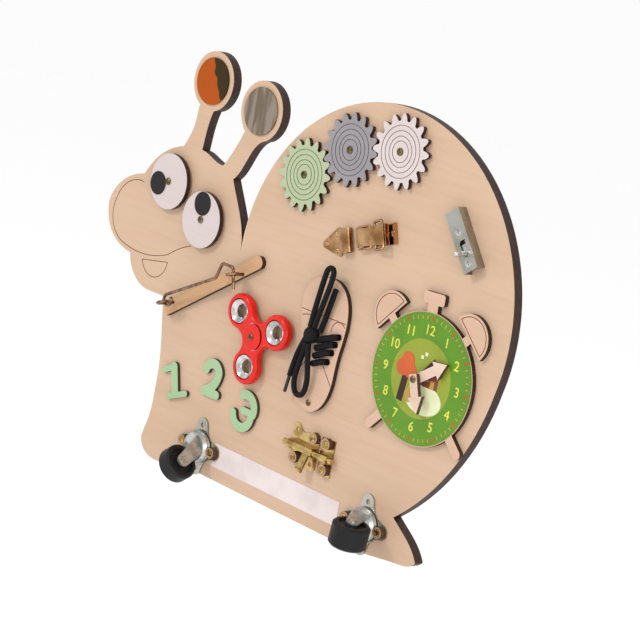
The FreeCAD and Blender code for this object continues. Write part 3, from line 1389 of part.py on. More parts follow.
def fork_solid(offset, wheel_width):
    """The fork is made with its wheel along +X from the king pin, standing out along +Z."""
    metal = size("fork_sheet")
    race = size("race_radius")
    base = size("caster_plate_sheet") + 1.6 + 0.4
    top = base + size("race_height")
    half = wheel_width / 2 + size("wheel_side_gap")
    crown = turned_solid([(0, top - metal), (race - 2.5, top - metal), (race - 1, base), (race, base),
                          (race, base + 1.2), (race - 1.8, top), (0, top)])
    shape = crown
    axle = size("axle_height")
    for side in (-1, 1):
        y = side * (half + metal / 2) - metal / 2
        cheek_edges = [
            line((-8, base + 2.2), (8, base + 2.2)),
            line((8, base + 2.2), (offset + 5, axle - 2)),
            arc((offset + 5, axle - 2), (offset + 1.5, axle + 5), (offset - 4.4, axle + 2.6)),
            line((offset - 4.4, axle + 2.6), (-8, base + 2.2)),
        ]
        cheek = flat_solid(cheek_edges, metal)
        cheek = cheek.rotated(Vector(0, 0, 0), Vector(1, 0, 0), 90).translated(Vector(0, y + metal, 0))
        shape = shape.fuse(cheek)
    bridge = Part.makeBox(14, 2 * (half + metal), metal, Vector(-8, -half - metal, top - metal))
    shape = shape.fuse(bridge)
    room = Part.makeCylinder(size("wheel_radius") + 0.8, 2 * half, Vector(offset, -half, axle), Vector(0, 1, 0))
    shape = shape.cut(room)
    pin_hole = Part.makeCylinder(size("axle_radius") + 0.03, 60, Vector(offset, -30, axle), Vector(0, 1, 0))
    king_hole = Part.makeCylinder(size("kingpin_radius") + 0.08, 40, Vector(0, 0, -5))
    return shape.cut(pin_hole).cut(king_hole)


def wheel_solid(wheel_width):
    radius = size("wheel_radius")
    half = wheel_width / 2
    bore = size("axle_radius") + 0.08
    return turned_solid([(bore, -half), (4.2, -half), (4.8, -half + 1.6), (radius - 5, -half + 1.6),
                         (radius - 4, -half), (radius - 1.6, -half), (radius, -half + 1.6),
                         (radius, half - 1.6), (radius - 1.6, half), (radius - 4, half),
                         (radius - 5, half - 1.6), (4.8, half - 1.6), (4.2, half), (bore, half)])


def make_caster(side):
    place = (size(f"{side}_caster_x"), size(f"{side}_caster_z"))
    swivel = size(f"{side}_caster_swivel")
    offset = size(f"{side}_caster_offset")
    wheel_width = size(f"{side}_wheel_width")
    axle = size("axle_height")
    metal = size("fork_sheet")

    def add(name, shape, turn):
        keep(solid_feature(f"caster_{side}_{name}", onto_front(shape, *place, 0, turn)), f"caster_{side}_{name}")

    add("plate", caster_plate_solid(), 0)
    top = size("caster_plate_sheet") + 2 + size("race_height")
    post = size("kingpin_radius")
    kingpin = turned_solid([(0, 0), (post - 0.02, 0), (post - 0.02, top + 0.15), (post + 1.6, top + 0.15),
                            (post + 1.2, top + 1.1), (0, top + 1.1)])
    KINGPINS.append(onto_front(kingpin, *place))
    room = Part.makeCylinder(size("wheel_radius") + 0.8, wheel_width + 2, Vector(offset, -wheel_width / 2 - 1, axle),
                             Vector(0, 1, 0))
    fork = fork_solid(offset, wheel_width)
    add("fork", fork, swivel)
    if kingpin.common(room.rotated(Vector(0, 0, 0), Vector(0, 0, 1), swivel)).Volume > 0.001:
        raise ValueError("the wheel reaches the king pin")
    wheel = wheel_solid(wheel_width).rotated(Vector(0, 0, 0), Vector(1, 0, 0), 90)
    add("wheel", wheel.translated(Vector(offset, 0, axle)), swivel)
    half = wheel_width / 2 + size("wheel_side_gap") + metal
    pin = Part.makeCylinder(size("axle_radius"), 2 * half + 1.6, Vector(offset, -half - 0.8, axle), Vector(0, 1, 0))
    for y in (-half - 1.2, half):
        pin = pin.fuse(Part.makeCylinder(3, 1.2, Vector(offset, y, axle), Vector(0, 1, 0)))
    add("axle", pin, swivel)


def make_caster_fixings():
    metal = size("caster_plate_sheet")
    lift = size("wood_washer_thickness")
    washer = washer_solid(size("wood_washer_radius"), lift, PILOT)
    screw = brass_screw(metal + lift)
    for place in CASTER_SCREWS:
        WOODEN_WASHERS.append(onto_front(washer, *place, metal))
        BRASS_SCREWS.append(onto_front(screw, *place))


make_board()
make_mirrors()
make_eyes()
make_gears()
make_latch()
make_case_bolt()
make_collar()
make_spinner()
make_shoe()
make_lace()
make_barrel_bolt()
make_clock()
make_digits()
make_tape()
make_caster("left")
make_caster("right")
make_caster_fixings()
group("pivot_screws", PIVOT_SCREWS)
group("pivot_spacers", PIVOT_SPACERS)
group("wooden_washers", WOODEN_WASHERS)
group("brass_screws", BRASS_SCREWS)
group("caster_kingpins", KINGPINS)

doc.recompute()
for item in doc.Objects:
    if "Invalid" in item.State or "Error" in item.State:
        raise RuntimeError(f"{item.Label} did not build: {item.State}")
for piece in SUBPARTS:
    if piece.Shape.isNull() or not piece.Shape.isValid() or not piece.Shape.Solids:
        raise RuntimeError(f"{piece.Label} has no valid solid")

os.makedirs("parts", exist_ok=True)
for piece in SUBPARTS:
    piece.Shape.exportStep(f"parts/{piece.Label}.step")
print(len(SUBPARTS), "sub-parts written")
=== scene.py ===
import math

import bpy
from mathutils import Matrix, Vector


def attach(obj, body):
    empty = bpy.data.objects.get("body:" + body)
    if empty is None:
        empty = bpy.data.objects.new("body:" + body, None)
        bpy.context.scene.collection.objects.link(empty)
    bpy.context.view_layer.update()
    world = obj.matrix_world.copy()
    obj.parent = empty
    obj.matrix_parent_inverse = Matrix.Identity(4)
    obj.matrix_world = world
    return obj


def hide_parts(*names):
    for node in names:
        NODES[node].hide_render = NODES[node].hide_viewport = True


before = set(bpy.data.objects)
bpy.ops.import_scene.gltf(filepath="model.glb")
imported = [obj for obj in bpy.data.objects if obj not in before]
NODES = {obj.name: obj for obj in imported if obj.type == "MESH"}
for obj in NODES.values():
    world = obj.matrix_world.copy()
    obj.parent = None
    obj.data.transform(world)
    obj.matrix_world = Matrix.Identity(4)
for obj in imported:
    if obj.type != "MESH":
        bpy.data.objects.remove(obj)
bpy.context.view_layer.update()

# Lengths in metres
MM = 0.001
BOARD_FRONT = 8.5 * MM
PLY_PITCH = 1.5 * MM
SCORE_START = 0.2 * MM


def front(across, up, lift):
    """A point given in millimetres across, up and off the board's front."""
    return Vector((across * MM, -BOARD_FRONT - lift * MM, up * MM))


def srgb(red, green, blue):
    """A colour read off as 0 to 255 values, as the linear numbers that shaders take."""
    channels = []
    for value in (red, green, blue):
        share = value / 255
        channels.append(share / 12.92 if share <= 0.04045 else ((share + 0.055) / 1.055) ** 2.4)
    return (*channels, 1)


def deselect_all():
    bpy.ops.object.select_all(action="DESELECT")


# Building blocks of the materials
def add_node(tree, kind, inputs=None, **settings):
    node = tree.nodes.new(kind)
    for key, value in settings.items():
        setattr(node, key, value)
    for key, value in (inputs or {}).items():
        if isinstance(value, bpy.types.NodeSocket):
            tree.links.new(value, node.inputs[key])
        else:
            node.inputs[key].default_value = value
    return node


def math_node(tree, operation, first, second=0.0):
    return add_node(tree, "ShaderNodeMath", {0: first, 1: second}, operation=operation).outputs[0]


def mix_colour(tree, factor, first, second):
    node = add_node(tree, "ShaderNodeMix", data_type="RGBA")
    for socket, value in ((0, factor), (6, first), (7, second)):
        if isinstance(value, bpy.types.NodeSocket):
            tree.links.new(value, node.inputs[socket])
        else:
            node.inputs[socket].default_value = value
    return node.outputs[2]


def ramp(tree, factor, low, high):
    """A smooth step from 0 at low to 1 at high."""
    settings = {"Value": factor, "From Min": low, "From Max": high}
    return add_node(tree, "ShaderNodeMapRange", settings, interpolation_type="SMOOTHSTEP").outputs[0]


def new_group(name, inputs, outputs):
    """A shared effect with named sockets: returns the group, what it is given and its result."""
    group = bpy.data.node_groups.new(name, "ShaderNodeTree")
    for label, kind, value in inputs:
        socket = group.interface.new_socket(name=label, in_out="INPUT", socket_type=kind)
        socket.default_value = value
    for label, kind in outputs:
        group.interface.new_socket(name=label, in_out="OUTPUT", socket_type=kind)
    return group, group.nodes.new("NodeGroupInput"), group.nodes.new("NodeGroupOutput")


def noise(tree, scale, vector, detail=3.0, size=(1, 1, 1)):
    """Soft random patches, finer along an axis where its size is larger."""
    place = add_node(tree, "ShaderNodeMapping", {"Vector": vector, "Scale": size})
    inputs = {"Vector": place.outputs[0], "Scale": scale, "Detail": detail}
    return add_node(tree, "ShaderNodeTexNoise", inputs).outputs["Fac"]


def make_wood_group():
    """Plywood cut by a laser: pale grained faces, scorched edges with plies, and dark scored lines."""
    group, given, result = new_group(
        "Cut wood",
        [("Face", "NodeSocketColor", (1, 1, 1, 1)), ("Grain", "NodeSocketColor", (1, 1, 1, 1)),
         ("Edge", "NodeSocketColor", (1, 1, 1, 1)), ("Line", "NodeSocketColor", (1, 1, 1, 1)),
         ("Front", "NodeSocketFloat", 0.0)],
        [("Colour", "NodeSocketColor"), ("Height", "NodeSocketFloat")])
    coords = add_node(group, "ShaderNodeTexCoord")
    place = coords.outputs["Object"]
    normal = add_node(group, "ShaderNodeSeparateXYZ", {0: coords.outputs["Normal"]}).outputs["Y"]
    depth = add_node(group, "ShaderNodeSeparateXYZ", {0: place}).outputs["Y"]
    streaks = noise(group, 1.0, place, detail=5.0, size=(26, 60, 420))
    figure = noise(group, 1.0, place, detail=2.0, size=(5, 30, 38))
    streaked = math_node(group, "MULTIPLY", ramp(group, streaks, 0.42, 0.72), 0.35)
    clouded = math_node(group, "MULTIPLY", ramp(group, figure, 0.35, 0.7), 0.5)
    grained = math_node(group, "ADD", streaked, clouded)
    face = mix_colour(group, grained, given.outputs["Face"], given.outputs["Grain"])
    plies = math_node(group, "SINE", math_node(group, "MULTIPLY", depth, 2 * math.pi / PLY_PITCH))
    scorch = math_node(group, "ADD", math_node(group, "MULTIPLY", plies, 0.16),
                       noise(group, 260.0, place, detail=4.0))
    shade = math_node(group, "MULTIPLY", ramp(group, scorch, 0.3, 0.85), 0.75)
    edge = mix_colour(group, shade, given.outputs["Edge"], srgb(70, 43, 32))
    flat = ramp(group, math_node(group, "ABSOLUTE", normal), 0.45, 0.8)
    colour = mix_colour(group, flat, edge, face)
    behind_front = math_node(group, "SUBTRACT", depth, given.outputs["Front"])
    sunk = math_node(group, "GREATER_THAN", behind_front, SCORE_START)
    looking_out = math_node(group, "LESS_THAN", normal, -0.5)
    scored = math_node(group, "MULTIPLY", sunk, looking_out)
    lined = mix_colour(group, scored, colour, given.outputs["Line"])
    group.links.new(lined, result.inputs["Colour"])
    group.links.new(math_node(group, "MULTIPLY", streaks, 0.4), result.inputs["Height"])
    return group


def make_metal_group():
    """Sheet metal: the colour and gloss vary a little in patches, with fine rub marks."""
    group, given, result = new_group(
        "Worn metal",
        [("Bright", "NodeSocketColor", (1, 1, 1, 1)), ("Dull", "NodeSocketColor", (1, 1, 1, 1)),
         ("Gloss", "NodeSocketFloat", 0.3), ("Patch", "NodeSocketFloat", 90.0)],
        [("Colour", "NodeSocketColor"), ("Roughness", "NodeSocketFloat"), ("Height", "NodeSocketFloat")])
    place = add_node(group, "ShaderNodeTexCoord").outputs["Object"]
    patch_inputs = {"Vector": place, "Scale": given.outputs["Patch"], "Detail": 4.0}
    patches = add_node(group, "ShaderNodeTexNoise", patch_inputs).outputs["Fac"]
    rubbed = noise(group, 700.0, place, size=(1, 1, 0.3))
    dulled = ramp(group, patches, 0.35, 0.68)
    colour = mix_colour(group, dulled, given.outputs["Bright"], given.outputs["Dull"])
    rough = math_node(group, "ADD", given.outputs["Gloss"], math_node(group, "MULTIPLY", patches, 0.16))
    group.links.new(colour, result.inputs["Colour"])
    group.links.new(rough, result.inputs["Roughness"])
    group.links.new(rubbed, result.inputs["Height"])
    return group


WOOD = make_wood_group()
METAL = make_metal_group()

# The share of its light that a mottled patch keeps, and the slant of the lace's braid in degrees
MOTTLE_SHADE = 0.88
BRAID_ANGLE = 35


def new_material(name):
    """A material with its surface shader: returns the material, its tree and the shader."""
    material = bpy.data.materials.new(name)
    material.use_nodes = True
    tree = material.node_tree
    return material, tree, tree.nodes["Principled BSDF"]


def bumped(tree, shader, height, strength, distance):
    """Gives a finish its fine relief, whose depth is the distance."""
    bump_inputs = {"Height": height, "Strength": strength, "Distance": distance}
    bump = add_node(tree, "ShaderNodeBump", bump_inputs)
    tree.links.new(bump.outputs[0], shader.inputs["Normal"])


def wood(name, face, grain, edge, face_lift, line=srgb(132, 88, 56), roughness=0.55):
    """Laser-cut wood, scored in the line colour. Its front stands face_lift millimetres off the board's."""
    material, tree, shader = new_material(name)
    inputs = {"Face": face, "Grain": grain, "Edge": edge, "Line": line,
              "Front": -BOARD_FRONT - face_lift * MM}
    group = add_node(tree, "ShaderNodeGroup", node_tree=WOOD)
    for label, value in inputs.items():
        group.inputs[label].default_value = value
    tree.links.new(group.outputs["Colour"], shader.inputs["Base Color"])
    shader.inputs["Roughness"].default_value = roughness
    shader.inputs["Specular IOR Level"].default_value = 0.3
    bumped(tree, shader, group.outputs["Height"], 0.12, 0.2 * MM)
    return material


def metal(name, bright, dull, gloss, patch, metallic=1.0):
    """Metal that varies between a bright and a dull colour, in finer patches where patch is larger."""
    material, tree, shader = new_material(name)
    group = add_node(tree, "ShaderNodeGroup", node_tree=METAL)
    for label, value in (("Bright", bright), ("Dull", dull), ("Gloss", gloss), ("Patch", patch)):
        group.inputs[label].default_value = value
    tree.links.new(group.outputs["Colour"], shader.inputs["Base Color"])
    tree.links.new(group.outputs["Roughness"], shader.inputs["Roughness"])
    shader.inputs["Metallic"].default_value = metallic
    bumped(tree, shader, group.outputs["Height"], 0.1, 0.1 * MM)
    return material


def plain(name, colour, roughness, coat=0.0, grit=0.0):
    """Paint, print, plastic or rubber: one colour that mottles faintly, with an optional fine grit."""
    material, tree, shader = new_material(name)
    place = add_node(tree, "ShaderNodeTexCoord").outputs["Object"]
    darker = (*(channel * MOTTLE_SHADE for channel in colour[:3]), 1)
    mottle = ramp(tree, noise(tree, 55.0, place), 0.35, 0.7)
    tree.links.new(mix_colour(tree, mottle, colour, darker), shader.inputs["Base Color"])
    shader.inputs["Roughness"].default_value = roughness
    shader.inputs["Specular IOR Level"].default_value = 0.25
    shader.inputs["Coat Weight"].default_value = coat
    if grit:
        bumped(tree, shader, noise(tree, 1600.0, place, detail=2.0), grit, 0.2 * MM)
    return material


def woven(name, colour, highlight):
    """Tubular braid: two families of slanting ribs, with a painted highlight on their crests."""
    material, tree, shader = new_material(name)
    place = add_node(tree, "ShaderNodeTexCoord").outputs["Object"]
    ribs = []
    for angle in (BRAID_ANGLE, -BRAID_ANGLE):
        lean = (0, math.radians(angle), 0)
        turn = add_node(tree, "ShaderNodeMapping", {"Vector": place, "Rotation": lean})
        wave_inputs = {"Vector": turn.outputs[0], "Scale": 420.0, "Distortion": 0.6, "Detail": 1.0}
        ribs.append(add_node(tree, "ShaderNodeTexWave", wave_inputs).outputs["Fac"])
    braid = math_node(tree, "MULTIPLY", *ribs)
    highlit_crests = ramp(tree, braid, 0.2, 0.9)
    tree.links.new(mix_colour(tree, highlit_crests, colour, highlight), shader.inputs["Base Color"])
    shader.inputs["Roughness"].default_value = 0.75
    shader.inputs["Specular IOR Level"].default_value = 0.2
    bumped(tree, shader, braid, 0.6, 0.4 * MM)
    return material


def mirrors(name, left_reflection, right_reflection):
    """Acrylic mirrors whose colour is a painted reflection of the room: the left one warm with a dark
    patch, the right one pale with a darker streak.
    """
    material, tree, shader = new_material(name)
    place = add_node(tree, "ShaderNodeTexCoord").outputs["Object"]
    axes = add_node(tree, "ShaderNodeSeparateXYZ", {0: place}).outputs
    across = math_node(tree, "SUBTRACT", axes["X"], LEFT_MIRROR[0] * MM)
    up = math_node(tree, "SUBTRACT", axes["Z"], LEFT_MIRROR[1] * MM)
    # Painted reflection: a dark patch slanting across the left mirror and a darker streak on the right one
    lean = math_node(tree, "ADD", math_node(tree, "MULTIPLY", across, 80.0),
                     math_node(tree, "MULTIPLY", up, 45.0))
    bend = math_node(tree, "MULTIPLY", noise(tree, 60.0, place, detail=1.0), 2.4)
    patch = ramp(tree, math_node(tree, "ADD", lean, bend), 1.5, 1.62)
    reflected_streak = ramp(tree, noise(tree, 1.0, place, detail=2.0, size=(150, 20, 22)), 0.42, 0.6)
    left = mix_colour(tree, patch, *left_reflection)
    right = mix_colour(tree, reflected_streak, *right_reflection)
    on_right = math_node(tree, "GREATER_THAN", axes["X"], BETWEEN_MIRRORS * MM)
    tree.links.new(mix_colour(tree, on_right, left, right), shader.inputs["Base Color"])
    shader.inputs["Metallic"].default_value = 1.0
    shader.inputs["Roughness"].default_value = 0.1
    return material


# Scored fronts, in millimetres off the board's front. The last lies behind the whole board, so that
# nothing on an unscored piece counts as sunk.
SHEET_TOP = 4
GEAR_TOP = 4.15
NO_LINES = -50

# Places of the mirrors, in millimetres from the shell's centre
LEFT_MIRROR = (-212, 122.9)
BETWEEN_MIRRORS = -180

# Finishes
PLY_FACE = srgb(190, 161, 136)
PLY_GRAIN = srgb(180, 150, 124)
PLY_EDGE = srgb(36, 21, 15)

board_wood = wood("Birch plywood", PLY_FACE, PLY_GRAIN, PLY_EDGE, 0)
strip_wood = wood("Plywood four thick", srgb(194, 161, 138), srgb(184, 151, 127), PLY_EDGE, SHEET_TOP)
# The collar strip is natural plywood with painted shade: its whole face is darkened for the hook and screw
# eyes above it
shaded_collar_wood = wood("Plywood strip with painted shade", srgb(186, 147, 110), srgb(174, 134, 97), PLY_EDGE, SHEET_TOP)
hand_wood = wood("Plywood hands", srgb(204, 182, 166), PLY_GRAIN, srgb(84, 54, 38), NO_LINES)
washer_wood = wood("Turned wooden washers", srgb(170, 140, 110), srgb(148, 116, 86), srgb(84, 56, 36),
                   NO_LINES)
gear_grey = wood("Grey painted gear", srgb(137, 132, 135), srgb(129, 124, 127), PLY_EDGE, GEAR_TOP,
                 srgb(112, 109, 112))
gear_green = wood("Green painted gear", srgb(162, 172, 139), srgb(154, 165, 131), PLY_EDGE, GEAR_TOP,
                  srgb(126, 138, 108))
gear_white = wood("White painted gear", srgb(196, 184, 182), srgb(188, 176, 173), PLY_EDGE, GEAR_TOP,
                  srgb(156, 144, 141))
eye_white = wood("White eye discs", srgb(190, 178, 176), srgb(184, 171, 168), PLY_EDGE, NO_LINES,
                 roughness=0.4)
digit_green = wood("Green painted digits", srgb(148, 176, 136), srgb(138, 166, 126), srgb(62, 52, 38),
                   NO_LINES)
black_paint = plain("Black pupil paint", srgb(20, 14, 14), 0.4)
bronze = metal("Bronze plated latch", srgb(198, 158, 116), srgb(136, 96, 58), 0.12, 70.0)
hook_bronze = metal("Bronze wire", srgb(150, 118, 92), srgb(92, 68, 52), 0.16, 200.0)
bright_steel = metal("Bright steel", srgb(206, 204, 202), srgb(160, 158, 156), 0.14, 160.0)
zinc = metal("Zinc plated sheet", srgb(176, 176, 168), srgb(146, 146, 136), 0.2, 60.0)
brass = metal("Yellow brass", srgb(204, 176, 118), srgb(150, 120, 68), 0.1, 110.0)
dark_brass = metal("Brass screws", srgb(190, 158, 100), srgb(124, 98, 58), 0.18, 300.0)
dull_screw = metal("Dull screws", srgb(128, 112, 78), srgb(74, 64, 46), 0.25, 300.0)
spinner_red = plain("Glossy red plastic", srgb(206, 22, 6), 0.3, 0.18)
# The lace's second colour is a painted highlight on the braid's crests
lace_black = woven("Black lace", srgb(9, 9, 11), srgb(26, 26, 29))
aglet_black = plain("Black aglet", srgb(16, 16, 18), 0.2, 0.4)
wheel_black = plain("Black wheel plastic", srgb(16, 15, 16), 0.5, grit=0.15)
fork_grey = metal("Fork sheet", srgb(190, 190, 186), srgb(146, 146, 140), 0.22, 120.0, metallic=0.75)
fleece = plain("Pale fleece strip", srgb(208, 196, 194), 0.9, grit=0.8)
dial_green = plain("Green dial print", srgb(84, 130, 24), 0.35, 0.1)
# The mirrors' colours are painted reflections of the room
mirror_reflections = mirrors("Acrylic mirrors", (srgb(192, 92, 34), srgb(70, 58, 36)),
                      (srgb(158, 147, 134), srgb(128, 114, 98)))

FINISHES = {
    board_wood: ["board"],
    strip_wood: ["shoe_sole", "clock_body"],
    shaded_collar_wood: ["collar_strip"],
    hand_wood: ["hand_long", "hand_short"],
    washer_wood: ["wooden_washers"],
    gear_grey: ["gear_grey"],
    gear_green: ["gear_green"],
    gear_white: ["gear_white"],
    eye_white: ["eye_left", "eye_right"],
    black_paint: ["pupil_left", "pupil_right"],
    digit_green: ["digit_one", "digit_two", "digit_three"],
    bronze: ["catch_plate", "latch_base", "latch_lever", "latch_rivets", "latch_bail", "latch_ring"],
    hook_bronze: ["hook", "screw_eye_left", "screw_eye_right"],
    bright_steel: ["bolt_case_screws", "case_bolt", "spinner_weights", "bearing_outer_ring",
                   "bearing_inner_ring", "bearing_balls", "caster_kingpins", "caster_left_axle",
                   "caster_right_axle"],
    zinc: ["bolt_case", "pivot_spacers", "caster_left_plate", "caster_right_plate"],
    fork_grey: ["caster_left_fork", "caster_right_fork"],
    brass: ["barrel_plate", "barrel_keeper", "barrel_rod"],
    dark_brass: ["brass_screws"],
    dull_screw: ["pivot_screws"],
    spinner_red: ["spinner_body", "spinner_cap"],
    lace_black: ["lace_rows", "lace_knot", "lace_top_loop", "lace_bottom_loop", "lace_short_tail",
                 "lace_long_tail"],
    aglet_black: ["lace_aglet"],
    wheel_black: ["caster_left_wheel", "caster_right_wheel"],
    fleece: ["white_strip"],
    dial_green: ["clock_dial"],
    mirror_reflections: ["antenna_mirrors"],
}
for finish, names in FINISHES.items():
    for name in names:
        NODES[name].data.materials.clear()
        NODES[name].data.materials.append(finish)


# Camera, where the photo was taken from: its place in metres, what it faces and its level edge
CAMERA_PLACE = Vector((1.0456, -1.1119, 0.2721))
CAMERA_FACING = Vector((-0.6893, 0.6987, -0.1915))
CAMERA_LEVEL = Vector((0.6739, 0.7154, 0.1847))
SENSOR_WIDTH = 36
LENS = 116.18


def place_camera():
    deselect_all()
    bpy.ops.object.camera_add()
    camera = bpy.context.object
    forward = CAMERA_FACING.normalized()
    up = CAMERA_LEVEL.cross(forward).normalized()
    right = forward.cross(up)
    turn = Matrix((right, up, -forward)).transposed()
    camera.matrix_world = Matrix.Translation(CAMERA_PLACE) @ turn.to_4x4()
    camera.data.sensor_width = SENSOR_WIDTH
    camera.data.lens = LENS
    bpy.context.scene.camera = camera


place_camera()


# Clock dial: sizes in millimetres, its places from the shell's centre
CLOCK = (73.4, -42.6)
DIAL_TOP = 4.5
PRINT = 0.05
NUMERAL_RADIUS = 36.4
NUMERAL_HEIGHT = 10.2
NUMERAL_SWELL = 0.12
NUMERAL_LAYER = 0.5
MARK_RADIUS = 45.2
HOUR_MARK = (3.4, 1.5)
MINUTE_MARK = (2.6, 0.8)
ROUND_CORNERS = 48

print_yellow = plain("Yellow print", srgb(206, 200, 78), 0.4)
print_red = plain("Red print", srgb(186, 66, 34), 0.4)
print_amber = plain("Amber print", srgb(178, 140, 72), 0.4)
print_lime = plain("Lime print", srgb(134, 146, 48), 0.4)
print_pale = plain("Pale print", srgb(208, 212, 172), 0.4)
print_dark = plain("Dark brown print", srgb(58, 30, 26), 0.4)
print_russet = plain("Russet print", srgb(124, 62, 48), 0.4)
print_orange = plain("Orange print", srgb(188, 88, 44), 0.4)


def settle(obj, name, finish):
    """Names a printed shape, puts its place into its mesh, colours it and hangs it on the board."""
    deselect_all()
    obj.select_set(True)
    bpy.context.view_layer.objects.active = obj
    bpy.ops.object.transform_apply(location=True, rotation=True, scale=True)
    obj.name = name
    obj.data.materials.clear()
    obj.data.materials.append(finish)
    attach(obj, "board_body")
    return obj


def polar(radius, angle):
    """A place at a radius from the dial's centre, its angle in degrees from level."""
    turn = math.radians(angle)
    return radius * math.cos(turn), radius * math.sin(turn)


def on_dial(across, up, layer):
    """A place on the dial from its centre, halfway through one of the layers that lie on each other."""
    return front(CLOCK[0] + across, CLOCK[1] + up, DIAL_TOP + (layer + 0.5) * PRINT)


def disc(name, across, up, layer, radius, finish, stretch=(1, 1), corners=ROUND_CORNERS):
    """A printed round, or a regular polygon, stretched sideways and upwards."""
    deselect_all()
    bpy.ops.mesh.primitive_cylinder_add(vertices=corners, radius=radius * MM, depth=PRINT * MM,
                                        location=on_dial(across, up, layer), rotation=(math.pi / 2, 0, 0))
    bpy.context.object.scale = (*stretch, 1)
    return settle(bpy.context.object, name, finish)


def bar(name, across, up, layer, size, finish, turn=0):
    """A printed bar of a length and a width, its length at a turn from level."""
    deselect_all()
    bpy.ops.mesh.primitive_cube_add(size=1, location=on_dial(across, up, layer),
                                    rotation=(0, -math.radians(turn), 0))
    bpy.context.object.scale = (size[0] * MM, PRINT * MM, size[1] * MM)
    return settle(bpy.context.object, name, finish)


def numeral(hour):
    deselect_all()
    place = polar(NUMERAL_RADIUS, 90 - 30 * hour)
    bpy.ops.object.text_add(location=on_dial(*place, NUMERAL_LAYER), rotation=(math.pi / 2, 0, 0))
    text = bpy.context.object.data
    text.body = str(hour)
    text.align_x = "CENTER"
    text.align_y = "CENTER"
    text.size = NUMERAL_HEIGHT * MM
    text.extrude = PRINT / 2 * MM
    text.offset = NUMERAL_SWELL * MM
    text.resolution_u = 4
    bpy.ops.object.convert(target="MESH")
    return settle(bpy.context.object, f"numeral_{hour}", print_yellow)


def joined(name, objects):
    """Several shapes of one colour made into one."""
    deselect_all()
    for obj in objects:
        obj.select_set(True)
    bpy.context.view_layer.objects.active = objects[0]
    bpy.ops.object.join()
    objects[0].name = name


def make_picture():
    """A cottage on a pale hill beside an autumn tree."""
    disc("picture_field", 0, 0, 0, 29.5, print_lime)
    disc("picture_hill", 6, -14, 1, 12, print_pale, stretch=(1.5, 0.95))
    bar("picture_trunk", -16, -11, 2, (20, 6), print_dark, turn=84)
    bar("picture_wall", 10, 1, 2, (15, 11), print_russet)
    joined("picture_crown", [disc("crown_low", -19, 4, 3, 6.5, print_orange),
                             disc("crown_middle", -11, 3, 4, 6, print_orange),
                             disc("crown_high", -15, 10, 5, 6.5, print_orange)])
    disc("picture_roof", 10, 10, 3, 10.5, print_dark, stretch=(1.1, 0.75), corners=3)
    disc("picture_bush", -8, -14, 3, 4.5, print_amber, stretch=(1, 1.3))
    bar("picture_door", 12, -1.5, 3, (4, 6), print_amber)
    joined("picture_lights", [bar("light_window", 6.5, 1.5, 3, (2.6, 2.6), print_pale),
                              bar("light_left", -2, 16, 3, (2.6, 2.6), print_pale),
                              bar("light_right", 1.5, 19, 3, (2.6, 2.6), print_pale)])


def mark(minute):
    """One stroke of the ring around the dial, larger and red at each hour."""
    size, finish = (MINUTE_MARK, print_amber) if minute % 5 else (HOUR_MARK, print_red)
    angle = 6 * minute
    return bar(f"mark_{minute}", *polar(MARK_RADIUS, angle), 0, size, finish, turn=angle)


def make_dial():
    joined("dial_numerals", [numeral(hour) for hour in range(1, 13)])
    joined("dial_hour_marks", [mark(minute) for minute in range(60) if minute % 5 == 0])
    joined("dial_minute_marks", [mark(minute) for minute in range(60) if minute % 5])


make_picture()
make_dial()


# Lace: the cords follow their routes across, up and off the board, in millimetres
TOP_LOOP = [(-41.6, -35, 10.4), (-38.9, -22, 11.8), (-35.6, -8, 13), (-32.9, 4.5, 13.8),
            (-30.4, 14.4, 14.2), (-23.4, 14.2, 14.2), (-24.6, 4.4, 13.8), (-28.2, -7.4, 13),
            (-32.8, -21, 11.8), (-37.1, -34.4, 10.4)]
BOTTOM_LOOP = [(-42.8, -47.8, 10), (-45.4, -58, 9.2), (-48.8, -69.6, 8.6), (-50.6, -81, 8.4),
               (-46.4, -90.4, 8.4), (-38.2, -89.2, 8.4), (-35.4, -79.6, 8.8), (-35.2, -69, 10.6),
               (-36.4, -58, 12.4), (-38.2, -47.6, 12.2)]
SHORT_TAIL = [(-33.4, -37.4, 7), (-30.8, -28, 7), (-27.8, -15, 7.4), (-24.2, -1.6, 8)]
LONG_TAIL = [(-46.2, -43.4, 7.4), (-51.4, -53.6, 7), (-55.2, -66, 7), (-56.6, -78.4, 7.6)]
LACE_RADIUS = 2.2

# A smooth cord cuts the corners of its route: its length as a share of the route's
LOOP_SHARE = 0.955
TAIL_SHARE = 0.998
CORDS = [
    ("top_loop", TOP_LOOP, "object", LOOP_SHARE),
    ("bottom_loop", BOTTOM_LOOP, "object", LOOP_SHARE),
    ("short_tail", SHORT_TAIL, "bare", TAIL_SHARE),
    ("long_tail", LONG_TAIL, "fitting", TAIL_SHARE),
]


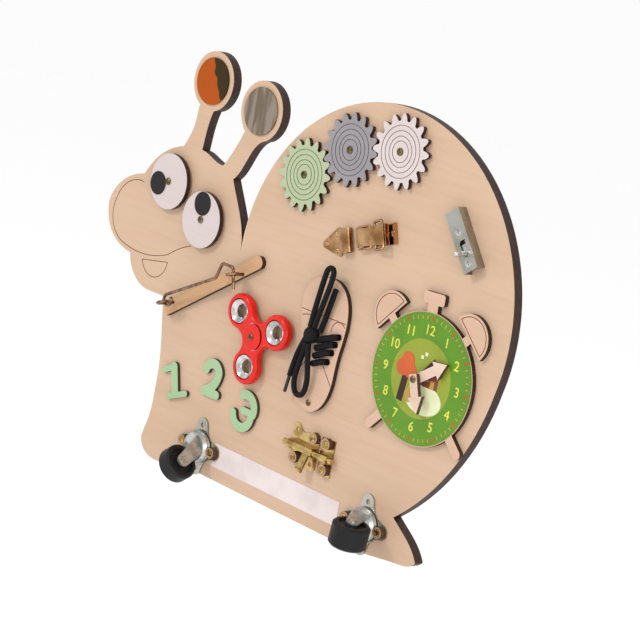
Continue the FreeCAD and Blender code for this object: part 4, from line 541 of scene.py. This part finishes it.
def lace_cord(name, route):
    """A smooth cord along a route, with the lace's round section."""
    curve = bpy.data.curves.new(name, "CURVE")
    curve.dimensions = "3D"
    spline = curve.splines.new("NURBS")
    spline.points.add(len(route) - 1)
    for point, place in zip(spline.points, route):
        point.co = (*front(*place), 1)
    spline.order_u = 3
    spline.use_endpoint_u = True
    curve.resolution_u = 10
    curve.bevel_depth = LACE_RADIUS * MM
    curve.bevel_resolution = 4
    curve.use_fill_caps = True
    curve.materials.append(lace_black)
    cord = bpy.data.objects.new(name, curve)
    bpy.context.scene.collection.objects.link(cord)
    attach(cord, "board_body")
    return cord


def make_lace():
    for name, route, end, share in CORDS:
        cord = lace_cord(f"cord_{name}", route)
        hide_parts(f"lace_{name}")


make_lace()


# Room: a pale floor well below, a white surround and level lamps
FLOOR_SIZE = 12
FLOOR_LEVEL = -0.6
SURROUND = 0.97
BOARD_MIDDLE = Vector((-0.08, 0, -0.02))


def lamp(name, place, power, size):
    """A square lamp of a power in watts and a size in metres, turned to the board."""
    deselect_all()
    bpy.ops.object.light_add(type="AREA", location=place)
    light = bpy.context.object
    light.name = name
    light.data.energy = power
    light.data.size = size
    light.rotation_euler = (BOARD_MIDDLE - Vector(place)).to_track_quat("-Z", "Y").to_euler()


def make_room():
    deselect_all()
    bpy.ops.mesh.primitive_plane_add(size=FLOOR_SIZE, location=(0, 0, FLOOR_LEVEL))
    floor = bpy.context.object
    floor.name = "floor"
    material, _, shader = new_material("Pale floor")
    shader.inputs["Base Color"].default_value = (1, 1, 1, 1)
    shader.inputs["Roughness"].default_value = 0.9
    floor.data.materials.append(material)
    lamp("Key", (-0.5, -1.8, 1.3), 17, 0.4)
    lamp("Side", (1.8, -1.2, 0.3), 14, 1.2)
    world = bpy.data.worlds.new("Surround")
    world.use_nodes = True
    background = world.node_tree.nodes["Background"]
    background.inputs["Color"].default_value = (1, 1, 1, 1)
    background.inputs["Strength"].default_value = SURROUND
    bpy.context.scene.world = world
    bpy.context.scene.view_settings.view_transform = "Standard"


make_room()
